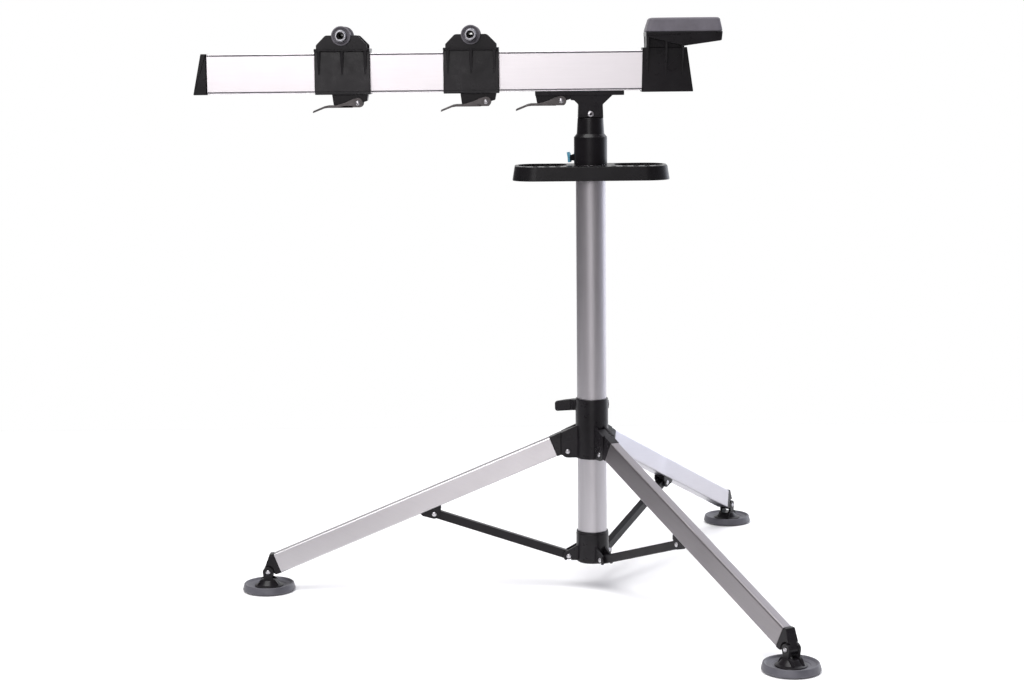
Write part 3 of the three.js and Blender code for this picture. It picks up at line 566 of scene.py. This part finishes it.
def make_leg(number, azimuth):
    turn = about_y(azimuth)
    leg = f"leg_{number}"
    hx, hy = HUB_PIVOT
    fx, fy = FOOT_PIVOT
    MATERIALS["leg_aluminium"] = leg_material(number)

    # tube: its section is drawn in z-y and runs along the tube
    run = turn @ ON_TUBE @ ALONG_X
    section = rounded(
        [
            (-TUBE_HALF, TUBE_LOW, 2.4), (TUBE_HALF, TUBE_LOW, 2.4),
            (TOP_HALF, TUBE_HIGH, 3.2), (-TOP_HALF, TUBE_HIGH, 3.2),
        ],
        steps=8,
    )
    bore = inset(section, 1.8)
    tube = bmesh.new()
    prism(tube, section, TUBE_START, TUBE_END, 0.3, holes=[bore], place=run)
    piece(f"{leg}_extrusion", tube, leg, "leg_aluminium", f"{leg}_tube")

    # knuckle at the hub
    end = TUBE_START - GAP
    shoulder = rounded(
        [from_tube(end, TUBE_HIGH), (hx + 11.7, 275.7, 1), (hx + 11.7, 236.6, 1), from_tube(end, TUBE_LOW)],
        0.9, 4,
    )
    tongue = [(hx + 12.7, 275.2), (hx - 9.6, 284)] + arc(hx, hy, 9.6, PI, 1.5 * PI) + [(hx + 12.7, 236.4)]
    made = bmesh.new()
    prism(made, shoulder, -TUBE_HALF, TUBE_HALF, 0.9, place=turn, warp=tapered)
    prism(made, tongue, -6.8, 6.8, 0.5, place=turn)
    plug = box_outline(TUBE_START - 2, TUBE_START + 32, TUBE_LOW + PLUG_IN, TUBE_HIGH - PLUG_IN, 1, 3)
    prism(made, plug, PLUG_IN - TOP_HALF, TOP_HALF - PLUG_IN, 0.5, place=turn @ ON_TUBE)
    for side in (-1, 1):
        spot = turn @ Matrix.Translation(tapered(hx + 16.4, 268.4, side * TUBE_HALF))
        spot = spot @ Matrix.Rotation(side * PI / 2, 4, "X")
        lathe(made, [(0, -0.6), (1.9, -0.6), (1.9, 0.1), (1.2, 0.5), (0, 0.6)], 20, place=spot)
    piece(f"{leg}_shoulder", made, leg, "moulded_black", f"{leg}_knuckle")

    # end cap at the foot
    end = TUBE_END + GAP
    wide = [from_tube(end, TUBE_LOW), (fx - 14.8, fy - 3)]
    wide += arc(fx, fy, 12, PI + 0.22, 1.2)
    wide += fillet((fx + 4, fy + 11), (fx - 2.7, fy + 31.5), from_tube(end, TUBE_HIGH), 1.6, 5)
    wide += fillet((fx - 2.7, fy + 31.5), from_tube(end, TUBE_HIGH), from_tube(end, TUBE_LOW), 0.8, 3)
    made = bmesh.new()
    prism(made, wide, -TUBE_HALF, TUBE_HALF, 0.8, place=turn, warp=tapered)
    tongue = [(fx - 15, fy + 14), (fx - 15, fy - 2.5), (fx - 8, fy - 3)]
    tongue += arc(fx, fy, 8.5, PI + 0.36, 2 * PI + 0.6) + [(fx + 2, fy + 19)]
    prism(made, tongue, -6.3, 6.3, 0.5, place=turn)
    plug = box_outline(TUBE_END - 30, TUBE_END + 2, TUBE_LOW + PLUG_IN, TUBE_HIGH - PLUG_IN, 1, 3)
    prism(made, plug, PLUG_IN - TOP_HALF, TOP_HALF - PLUG_IN, 0.5, place=turn @ ON_TUBE)
    piece(f"{leg}_toe", made, leg, "moulded_black", f"{leg}_end_cap")

    # bracket under the tube and its strut
    bx, by = to_tube(BRACKET_PIVOT)
    top = TUBE_LOW - GAP
    cheek = [(bx - 16, top), (bx - 13.6, by + 2)] + arc(bx, by, 8.4, PI + 0.1, 1.5 * PI + 0.5)
    cheek += fillet((bx + 4, by - 8), (bx + 19.5, top - 5), (bx + 21.6, top), 1.5, 4) + [(bx + 21.6, top)]
    made = bmesh.new()
    for side in (-1, 1):
        prism(made, cheek, *sorted((side * 7, side * 10.4)), 0.5, place=turn @ ON_TUBE)
    block(made, bx - 15.6, bx + 21.2, top - 1.8, top, -10.2, 10.2, 0.4, 0.4, place=turn @ ON_TUBE)
    piece(f"{leg}_strut_bracket", made, leg, "black_steel", f"{leg}_bracket")

    (x0, y0), (x1, y1) = COLLAR_PIVOT, BRACKET_PIVOT
    length, tilt = math.hypot(x1 - x0, y1 - y0), math.atan2(y1 - y0, x1 - x0)
    half = 7.2
    bar = arc(length, 0, half, -PI / 2, PI / 2) + arc(0, 0, half, PI / 2, 1.5 * PI)
    made = bmesh.new()
    strut_place = turn @ Matrix.Translation((x0, y0, 0)) @ Matrix.Rotation(tilt, 4, "Z")
    prism(made, bar, -6, 6, 0.9, holes=[circle(0, 0, 3.2, 24), circle(length, 0, 3.2, 24)], place=strut_place)
    piece(f"strut_{number}_flat", made, f"strut_{number}", "black_steel", f"strut_{number}_bar")

    # rivets
    for name, (px, py), reach, body, cad in (
        (f"{leg}_hub_pin", HUB_PIVOT, 11.8, "hub", f"{leg}_hub_rivet"),
        (f"{leg}_bracket_pin", BRACKET_PIVOT, 10.4, leg, f"{leg}_bracket_rivet"),
        (f"strut_{number}_pin", COLLAR_PIVOT, 11, f"strut_{number}", f"strut_{number}_rivet"),
        (f"foot_{number}_pin", FOOT_PIVOT, 11.4, f"foot_{number}", f"foot_{number}_rivet"),
    ):
        piece(name, rivet(bmesh.new(), px, py, reach, place=turn), body, "rivet_steel", cad)

    # foot: yoke and dished sole
    made = bmesh.new()
    yoke = rounded(
        [
            (fx - 11, 23, 8), (fx - 18, 12, 2), (fx - 18, 9),
            (fx + 19, 9), (fx + 19, 12, 2), (fx + 12, 23, 8),
        ]
    )
    yoke += arc(fx, fy, 9.4, 0, PI, 24)
    for side in (-1, 1):
        prism(made, yoke, *sorted((side * 6.8, side * 11.4)), 0.6, place=turn)
    axis = turn @ Matrix.Translation((fx, 0, 0))
    mound = [(0, 8.3), (25, 8.3), (25, 10.2, 0.8), (19.5, 12, 2), (13, 20, 3), (0, 20)]
    lathe(made, rounded(mound, steps=4, closed=False), 64, place=axis)
    piece(f"foot_{number}_fork", made, f"foot_{number}", "moulded_black", f"foot_{number}_yoke")

    made = bmesh.new()
    profile = [
        (0, 0), (42, 0, 1.5), (45.5, 3.6, 2.2), (44.6, 7.2), (42.9, 13.2, 0.9), (41.6, 14, 0.8),
        (40.2, 13.6, 0.8), (37.4, 10.8, 2), (30, 9.6, 1), (29.4, 9.0, 0.5), (23, 8.6, 0.5),
        (22.4, 8.0, 0.3), (0, 8.0),
    ]
    lathe(made, rounded(profile, steps=5, closed=False), 112, place=axis)
    piece(f"foot_{number}_pad", made, f"foot_{number}", "sole_rubber", f"foot_{number}_sole")


for number, azimuth in LEG_AZIMUTHS.items():
    make_leg(number, azimuth)

# ---------------------------------------------------------------- head

bm = bmesh.new()
profile = [
    (0, 718), (22.6, 718, 0.5), (22.6, 777.3), (25.5, 777.3), (25.5, 733, 0.3), (28, 733, 1),
    (28, 779.4, 1.2), (23.2, 785, 1.5), (21.6, 811.2, 0.6), (0, 811.2),
]
lathe(bm, rounded(profile, steps=4, closed=False), 112)
block(bm, -11, 11, 810, 829.2, -11, 11, 0.5, 0.6)
LOCK_R, LOCK_Y, LOCK_AZIMUTH = 31.5, 744.5, 158
lug_end = LOCK_R + 3
lug = rounded([(26.5, LOCK_Y - 5), (lug_end, LOCK_Y - 4, 2), (lug_end, LOCK_Y + 4, 2), (26.5, LOCK_Y + 7)])
for side in (-1, 1):
    prism(bm, lug, *sorted((side * 5, side * 8)), 0.4, place=about_y(LOCK_AZIMUTH))
piece("head_socket", bm, "head", "moulded_black", "head_sleeve")

bm = bmesh.new()
r, y = LOCK_R, LOCK_Y
paddle = rounded(
    [
        (r - 2.6, y - 2.5, 1), (r + 3, y - 3.5, 1), (r + 5, y - 8, 1), (r + 8, y - 8, 1.2), (r + 8.4, y, 4),
        (r + 10, y + 9, 1.2), (r + 7.2, y + 9.5, 1.2), (r + 4.6, y + 3, 1.5), (r - 2.6, y + 2.5, 1),
    ]
)
prism(bm, paddle, -4.5, 4.5, 0.5, place=about_y(LOCK_AZIMUTH))
lathe(bm, [(0, -7.6), (1.5, -7.6), (1.5, 7.6), (0, 7.6)], 20, place=about_y(LOCK_AZIMUTH) @ along_z(r, y))
piece("turn_lock_paddle", bm, "turn_lock", "lock_blue", "turn_lock")

LEVER_Y = 840.5
LEVER_HALF = 15.3
BEAM_LEVER_X = -49


def cam_block(bm, x, top):
    """The block a lever bears on, round the lever's rivet at x."""
    y = LEVER_Y
    outline = [
        (x - 43, top), (x - 40.5, y - 3.5, 1), (x + 3, y - 3.5, 1),
        (x + 8, y + 0.5, 1), (x + 15.5, y + 2.8, 1), (x + 18, top),
    ]
    prism(bm, rounded(outline), -12.5, 12.5, 0.7)


bm = bmesh.new()
block(bm, -92.6, 56, 849.3, 856.7, -18, 18, 0.7, 0.7)
neck = [
    (38, 850.5), (20.4, 834, 2.5), (21.2, 811.5, 0.6), (-21.2, 811.5, 0.6),
    (-20.4, 834, 2.5), (-27.5, 841, 2), (-33, 841.5), (-33, 850.5),
]
prism(bm, rounded(neck), -17, 17, 1.2)
cam_block(bm, BEAM_LEVER_X, 850.3)
piece("head_mount", bm, "head", "moulded_black", "head_bracket")

# The neck bolt: a button head with a hexagon socket on each side
NECK_BOLT_Y = 818
bm = bmesh.new()
rivet(bm, 0, NECK_BOLT_Y, 17, 3.0, 5.1, 1.0)
hexagon = circle(0, NECK_BOLT_Y, 2.5, 6)
cutter = bmesh.new()
prism(cutter, hexagon, 16, 24, 0)
prism(cutter, hexagon, -24, -16, 0)
bm = carve(bm, cutter)
piece("neck_screw", bm, "head", "rivet_steel", "neck_bolt")

# ---------------------------------------------------------------- levers


def make_lever(name, body, x, cad):
    """A pressed channel round the cam block with a bent handle that narrows to a round tip."""
    y = LEVER_Y
    tip = -76.8

    def narrowed(px, py, pz):
        t = max(0.0, min(1.0, (x - 34 - px) / (-34 - tip)))
        width = 1 - 0.22 * t
        end = max(0.0, (t - 0.84) / 0.16)
        width *= math.sqrt(max(0.0, 1 - 0.62 * end * end))
        return px, py, pz * width

    handle = []
    top = [(-8, -3.9), (-50, -3.9), (-56, -5.0), (-75.0, -12.8)]
    low = [(-77.2, -16.9), (-57, -8.9), (-50, -7.9), (-8, -8.0)]
    coarse = rounded([(px + x, py + y, 1.2) for px, py in top + low], steps=4)
    for a, b in zip(coarse, coarse[1:] + coarse[:1]):
        count = max(1, round(math.hypot(b[0] - a[0], b[1] - a[1]) / 3))
        handle += [(a[0] + (b[0] - a[0]) * k / count, a[1] + (b[1] - a[1]) * k / count) for k in range(count)]
    bm = bmesh.new()
    prism(bm, handle, -LEVER_HALF, LEVER_HALF, 0.8, warp=narrowed)
    web = [(x - 38, y - 3.9), (x - 52, y - 4.2), (x - 52, y - 7.3)]
    web += arc(x, y, 8.5, -1.08, PI / 2, 24)
    web += [(x - 9, y + 6.4), (x - 20, y + 1.2), (x - 30, y - 2.0)]
    web = rounded(web[:3], closed=False) + web[3:]
    for side in (-1, 1):
        prism(bm, web, *sorted((side * 12.8, side * LEVER_HALF)), 0.5)
    piece(name, bm, body, "lever_steel", cad)


make_lever("beam_clamp_lever", "beam_lever", BEAM_LEVER_X, "beam_lever")
pin = rivet(bmesh.new(), BEAM_LEVER_X, LEVER_Y, LEVER_HALF, head=4.1)
piece("beam_lever_pin", pin, "head", "rivet_steel", "beam_lever_rivet")

# ---------------------------------------------------------------- tool tray

TRAY_LOW, TRAY_HIGH = 708.5, 732.4


def drafted(px, py, pz):
    taper = 1 - 0.03 * (pz - TRAY_LOW) / (TRAY_HIGH - TRAY_LOW)
    return px * taper, py * taper, pz


bm = bmesh.new()
prism(bm, box_outline(-132, 132, -57, 57, 40, 16), TRAY_LOW, TRAY_HIGH, 1.1, place=FLAT, warp=drafted)
cutter = bmesh.new()
for side in (-1, 1):
    well = box_outline(side * 81 - 40.5, side * 81 + 40.5, -27.5, 51.5, 29, 10)
    prism(cutter, well, 711.5, 745, 2.2, place=FLAT)
for k in range(-6, 7):
    reach = -43 if abs(k) == 6 else -51.5
    prism(cutter, box_outline(k * 18.6 - 4.5, k * 18.6 + 4.5, reach, -31.5, 4.4, 6), 720, 745, 0, place=FLAT)
lathe(cutter, [(0, 700), (25.5, 700), (25.5, 750), (0, 750)], 96)
bm = carve(bm, cutter)
piece("tray", bm, "tray", "tray_black", "tool_tray", sharp=30)

# ---------------------------------------------------------------- beam

BEAM_LOW, BEAM_HIGH = 857, 923
GROOVES = (BEAM_LOW + 2.5, BEAM_HIGH - 2.5)


def beam_section():
    """The beam's outline in z-y: rounded corners, a groove by each corner, a slot below."""
    half, r, lip, slot = 18, 1.1, 2.5, 7
    right = [(slot, BEAM_LOW, 0.4), (half, BEAM_LOW, r)]
    for y in GROOVES:
        right += [(half, y - 1.2, 0.15), (half - 1.6, y - 1), (half - 1.6, y + 1), (half, y + 1.2, 0.15)]
    right.append((half, BEAM_HIGH, r))
    left = [(-px, *rest) for px, *rest in reversed(right)]
    inner = [
        (-slot, BEAM_LOW + lip, 0.4), (lip - half, BEAM_LOW + lip, 0.6), (lip - half, BEAM_HIGH - lip, 0.6),
        (half - lip, BEAM_HIGH - lip, 0.6), (half - lip, BEAM_LOW + lip, 0.6), (slot, BEAM_LOW + lip, 0.4),
    ]
    return rounded(right + left + inner, steps=8)


bm = bmesh.new()
prism(bm, beam_section(), -640, 158, 0.25, place=ALONG_X)
piece("beam", bm, "beam", "beam_aluminium", "beam_tube")

# grey strips in the grooves of both faces: painted shade, the dark lines that the grooves' shade would give
bm = bmesh.new()
for y in GROOVES:
    for side in (-1, 1):
        block(bm, -639.6, 157.6, y - 0.95, y + 0.95, *sorted((side * 16.45, side * 17.5)), 0.2, 0.2)
piece("beam_groove_shade", bm, "beam", "spool_grey")

bm = bmesh.new()
cap = rounded([(-640.3, 856), (-640.3, 924), (-650, 924, 1.4), (-664, 856, 1.4)], 0.6, 5)
prism(bm, cap, -19, 19, 1.6, steps=4)
block(bm, -642, -612, BEAM_LOW + 3.3, BEAM_HIGH - 3.3, -14.7, 14.7, 0.5, 0.8)
piece("beam_left_cap", bm, "beam", "moulded_black", "beam_end_cap")

# ---------------------------------------------------------------- gussets, bracket rest, saddles


def gusset(bm, x, top, bottom, face, proud, width, place=None):
    """A rib on the front face: widest and proudest at its top, fading out downwards."""

    def faded(px, py, pz):
        down = max(0.0, min(1.0, (top - py) / (top - bottom)))
        return x + px * (1 - 0.55 * down), py, pz

    low = bottom - 2
    side = [(-face + 2, low), (-face + 2, top), (-proud, top, 0.8), (-face + 0.4, low)]
    side = rounded(side, steps=4)

    def placed(px, py, pz):
        p = ALONG_X @ Vector((px, py, pz))
        q = Vector(faded(p.x, p.y, p.z))
        return place @ q if place else q

    prism(bm, side, -width / 2, width / 2, 0.7, warp=placed)


def gusset_pair(bm, x, *sizes):
    gusset(bm, x, *sizes)
    gusset(bm, -x, *sizes, place=HALF_TURN)


COVER_LOW, COVER_HIGH = 854, 927.5
bm = bmesh.new()
cover = [(85, COVER_LOW), (171, COVER_LOW, 1.4), (160.5, COVER_HIGH, 1.2), (86.5, COVER_HIGH, 0.8)]


def leaning(px, py, pz):
    """The cover's faces stand a little further out at the bottom."""
    return px, py, pz * (1 + 0.035 * (COVER_HIGH - py) / (COVER_HIGH - COVER_LOW))


prism(bm, rounded(cover, 0.6), -22.6, 22.6, 1.3, warp=leaning)
cutter = bmesh.new()
block(cutter, 80, 158.3, 856.7, 923.3, -18.3, 18.3, 0, 0)
bm = carve(bm, cutter)
neck = [(93, 925), (156, 925), (156, 947), (93, 947)]
prism(bm, neck, -21, 21, 0.6)
shelf = [(93, 945), (155, 929.5, 2), (216.5, 937.8, 2.5), (218, 953, 1), (91.5, 953, 1), (91.5, 945.6)]
prism(bm, rounded(shelf, 0.6), -40, 40, 1.2)
for x in (94.4, 125.5, 152.5):
    gusset_pair(bm, x, 949, 881, 23.2, 38.6, 5.2)
piece("rest_block", bm, "beam", "moulded_black", "bracket_rest")

# The pad: a dense rubber cushion, drawn in towards its crowned top, its edges well rounded
PAD = {"left": 91.5, "right": 218, "low": 953.3, "high": 976.5, "half": 40}


def make_pad():
    bm = bmesh.new()
    x_mid, x_half = (PAD["left"] + PAD["right"]) / 2, (PAD["right"] - PAD["left"]) / 2
    height = PAD["high"] - PAD["low"]
    base = []
    for cx, cz, a in ((1, 1, 0), (-1, 1, PI / 2), (-1, -1, PI), (1, -1, 1.5 * PI)):
        base += [(cx, cz, a + PI / 2 * k / 8) for k in range(9)]
    rings = []
    levels = [(0.9, 0.0), (0.35, 0.25), (0.0, 0.9)]
    levels += [(3.6 * t + 0.5 * t * t, 0.9 + (height - 6.4) * t) for t in [k / 8 for k in range(1, 9)]]
    shoulder_in, shoulder_up = levels[-1]
    rise = height - shoulder_up
    round_in = 4.95  # how far the rounded shoulder draws in
    for k in range(1, 8):
        a = PI / 2 * k / 7
        levels.append((shoulder_in + round_in * (1 - math.cos(a)), shoulder_up + (rise - 0.5) * math.sin(a)))
    corner = 7.0
    for drawn, up in levels:
        hx, hz, rr = x_half - drawn, PAD["half"] - drawn * 1.15, max(2.5, corner + drawn * 0.25)
        ring = []
        for cx, cz, a in base:
            px = x_mid + cx * (hx - rr) + rr * math.cos(a) + 0.055 * up
            pz = cz * (hz - rr) + rr * math.sin(a)
            ring.append(bm.verts.new((px, PAD["low"] + up, pz)))
        rings.append(ring)
    skin(bm, rings)
    bm.faces.new(rings[0])
    # crowned top: the last ring drawn in towards its middle in steps
    last = [v.co.copy() for v in rings[-1]]
    middle = sum(last, Vector()) / len(last)
    previous = rings[-1]
    for t in (0.12, 0.3, 0.55, 0.8):
        ring = []
        for p in last:
            q = p.lerp(middle, t)
            q.y = p.y + (PAD["high"] - p.y) * math.sin(PI / 2 * t)
            ring.append(bm.verts.new(q))
        skin(bm, [previous, ring])
        previous = ring
    bm.faces.new(previous)
    made = piece("rest_cushion", bm, "beam", "pad_rubber", "rest_pad", sharp=60)


make_pad()

AXLE_Y = 951.5
SADDLES = {1: (-413.5, 50), 2: (-198.8, 65)}
RIVET_AT = 24


def make_saddle(number, x, axle_half):
    body = f"saddle_{number}"
    shift = Matrix.Translation((x, 0, 0))
    bm = bmesh.new()
    # sleeve round the beam, in z-y: leaning faces and chamfered lower edges
    sleeve = rounded(
        [
            (-19.6, 854.5, 1.5), (19.6, 854.5, 1.5), (25.6, 859.6, 1.6),
            (22.6, 927, 1), (-22.6, 927, 1), (-25.6, 859.6, 1.6),
        ],
        steps=5,
    )
    passage = box_outline(-18.4, 18.4, 856.6, 923.4, 2.6, 5)
    prism(bm, sleeve, -46.5, 46.5, 1.0, holes=[passage], place=shift @ ALONG_X)
    prism(bm, box_outline(-46.5, 46.5, -31, 31, 4, 6), 926, 930.5, 1.0, place=shift @ FLAT)
    # the two notched plates over it
    notch, high = 12.8, 952.5
    flank = [(42.3, 928), (42.3, 936.5, 3), (26.5, high, 6), (notch + 0.4, high, 1), (notch, high - 0.6)]
    flank = rounded(flank, steps=5, closed=False)
    plate = flank[:-1] + arc(0, AXLE_Y, notch, -0.05, -PI + 0.05, 28)
    plate += [(-px, py) for px, py in flank[::-1]][1:]
    for side in (-1, 1):
        prism(bm, plate, *sorted((side * 26.5, side * 31)), 0.9, place=shift)
    for rib in (-38.6, 0, 38.6):
        for place in (shift, shift @ HALF_TURN):
            gusset(bm, rib, 928, 881, 23.4, 30.6, 5.4, place=place)
    cam_block(bm, x + RIVET_AT, 856)
    piece(f"saddle_{number}_shell", bm, body, "moulded_black", f"saddle_{number}_body")

    place = along_z(x, AXLE_Y)
    bm = bmesh.new()
    half = [(12.4, 31.5), (16, 31.5, 0.6), (16, 38, 1.5), (13.6, 38, 0.5), (12.6, 36.2, 0.4), (10.4, 36.2)]
    outer = rounded([(r, -h, *k) for r, h, *k in reversed(half)] + half, steps=5, closed=False)
    lathe(bm, outer, 96, place=place, closed=True)
    piece(f"saddle_{number}_roller", bm, body, "spool_grey", f"saddle_{number}_spool")

    bm = bmesh.new()
    h = axle_half
    half = [(6.5, h, 0.5), (8.6, h, 0.7), (9.9, h - 1.8, 0.5)]
    inner = [(5.6, h - 1.4, 0.3), (5.6, h - 9)]
    ring = [(r, -z, *k) for r, z, *k in half] + [(r, z, *k) for r, z, *k in half[::-1] + inner]
    ring += [(r, -z, *k) for r, z, *k in inner[::-1]]
    lathe(bm, rounded(ring, steps=4), 96, place=place, closed=True)
    piece(f"saddle_{number}_axle", bm, body, "axle_chrome", f"saddle_{number}_axle_tube")
    # painted shade: a black liner inside the axle's bore, set in from its ends, darkens the hole; its
    # narrower bore adds some real shade too
    bm = bmesh.new()
    bore_shade_liner = [(3.72, -h + 9), (5.55, -h + 9), (5.55, h - 9), (3.72, h - 9)]
    lathe(bm, rounded(bore_shade_liner, 0.3, 3), 64, place=place, closed=True)
    piece(f"saddle_{number}_core", bm, body, "moulded_black")

    lever = f"saddle_{number}_lever"
    make_lever(f"saddle_{number}_clamp_lever", lever, x + RIVET_AT, lever)
    pin = rivet(bmesh.new(), x + RIVET_AT, LEVER_Y, LEVER_HALF, head=4.1)
    piece(f"saddle_{number}_pin", pin, body, "rivet_steel", f"saddle_{number}_rivet")


for number, (x, axle_half) in SADDLES.items():
    make_saddle(number, x, axle_half)

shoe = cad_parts["clamp_shoe"]
shoe.data.materials.clear()
shoe.data.materials.append(MATERIALS["black_steel"])

# ---------------------------------------------------------------- floor, light, camera


def aimed(thing, target):
    direction = Vector(target) - thing.location
    thing.rotation_euler = direction.to_track_quat("-Z", "Y").to_euler()


def softbox(name, place, target, size, power, color):
    light = bpy.data.lights.new(name, "AREA")
    light.shape = "RECTANGLE"
    light.size, light.size_y = size
    light.energy = power
    light.color = color
    thing = bpy.data.objects.new(name, light)
    thing.location = place
    bpy.context.scene.collection.objects.link(thing)
    aimed(thing, target)


def daylight(place, target, strength, angle):
    light = bpy.data.lights.new("daylight", "SUN")
    light.energy, light.angle = strength, angle
    thing = bpy.data.objects.new("daylight", light)
    thing.location = place
    bpy.context.scene.collection.objects.link(thing)
    aimed(thing, target)


def make_floor():
    material, bsdf = shader("pale_floor", (0.93, 0.93, 0.93), 0, 0.9)
    grain = noise(material, 3, detail=4)
    two_tone(material, bsdf, grain, (0.925, 0.925, 0.928), (0.94, 0.94, 0.94))
    mesh = bpy.data.meshes.new("floor")
    corners = [(-1.5, -0.8, 0), (1.7, -0.8, 0), (1.7, 1.5, 0), (-1.5, 1.5, 0)]
    mesh.from_pydata(corners, [], [(0, 1, 2, 3)])
    mesh.materials.append(material)
    floor = bpy.data.objects.new("floor", mesh)
    bpy.context.scene.collection.objects.link(floor)


def make_world():
    """A dim room with a white wall behind, a cool light wall to the right and a lit ceiling."""
    world = bpy.data.worlds.new("studio")
    bpy.context.scene.world = world
    world.use_nodes = True
    coordinates = node(world, "ShaderNodeTexCoord")
    total = None
    walls = (
        ((0.0, 0.0, 1.0), -2.0, -1.5, (0.2, 0.19, 0.2)),
        ((0.08, 0.99, -0.1), 0.80, 0.93, (0.84, 0.85, 0.84)),
        ((0.84, 0.52, 0.1), 0.55, 0.95, (0.5, 0.52, 0.62)),
        ((0.3, 0.5, 0.81), 0.80, 0.97, (1.1, 1.1, 1.15)),
    )
    for direction, start, end, color in walls:
        dot = world.node_tree.nodes.new("ShaderNodeVectorMath")
        dot.operation = "DOT_PRODUCT"
        dot.inputs[1].default_value = direction
        join(world, coordinates.outputs["Generated"], dot.inputs[0])
        amount = remap(world, dot.outputs["Value"], 0, 1, start, end)
        scaled = world.node_tree.nodes.new("ShaderNodeVectorMath")
        scaled.operation = "SCALE"
        scaled.inputs[0].default_value = color
        join(world, amount, scaled.inputs["Scale"])
        if total:
            add = world.node_tree.nodes.new("ShaderNodeVectorMath")
            join(world, total, add.inputs[0])
            join(world, scaled.outputs["Vector"], add.inputs[1])
            total = add.outputs["Vector"]
        else:
            total = scaled.outputs["Vector"]
    studio = world.node_tree.nodes["Background"]
    join(world, total, studio.inputs["Color"])
    # the same plain white backdrop is seen behind the stand from every side
    backdrop = node(world, "ShaderNodeBackground", Color=(1, 1, 1, 1))
    ray = world.node_tree.nodes.new("ShaderNodeLightPath")
    mix = world.node_tree.nodes.new("ShaderNodeMixShader")
    join(world, ray.outputs["Is Camera Ray"], mix.inputs[0])
    join(world, studio.outputs["Background"], mix.inputs[1])
    join(world, backdrop.outputs["Background"], mix.inputs[2])
    join(world, mix.outputs["Shader"], world.node_tree.nodes["World Output"].inputs["Surface"])


def make_camera():
    place = Vector((0.0587, -3.4234, 0.925))
    yaw, pitch, roll = -0.0075, 0.1428, -0.0105
    forward = Vector((math.sin(yaw) * math.cos(pitch), math.cos(yaw) * math.cos(pitch), -math.sin(pitch)))
    right = Vector((math.cos(yaw), -math.sin(yaw), 0))
    up = right.cross(forward)
    r = math.cos(roll) * right + math.sin(roll) * up
    u = -math.sin(roll) * right + math.cos(roll) * up
    data = bpy.data.cameras.new("camera")
    data.lens, data.sensor_width = 71.2, 36
    camera = bpy.data.objects.new("camera", data)
    axes = Matrix((r, u, -forward)).transposed().to_4x4()
    camera.matrix_world = Matrix.Translation(place) @ axes
    bpy.context.scene.collection.objects.link(camera)
    bpy.context.scene.camera = camera


make_floor()
make_world()
make_camera()
daylight((-0.7, -0.9, 3.0), (0, 0, 0), 3.2, 0.8)
softbox("front_high", (-0.95, -3.5, 1.95), (-0.15, 0, 0.8), (1.5, 1.5), 27, (1.0, 0.975, 0.985))
softbox("front_level", (-0.5, -3.6, 1.28), (-0.2, 0, 0.88), (1.5, 0.5), 9, (1.0, 0.975, 0.985))
softbox("front_low", (0.1, -2.2, 0.12), (0.0, 0, 0.4), (1.2, 0.4), 4, (1.0, 0.98, 0.99))
softbox("side_right", (1.9, 1.3, 0.5), (0.3, 0.1, 0.4), (1.4, 0.9), 8, (0.88, 0.92, 1.0))
softbox("rim_right", (2.4, 2.4, 2.2), (0.1, 0, 0.5), (1.4, 1.4), 10, (0.9, 0.93, 1.0))
bpy.context.scene.view_settings.view_transform = "Standard"
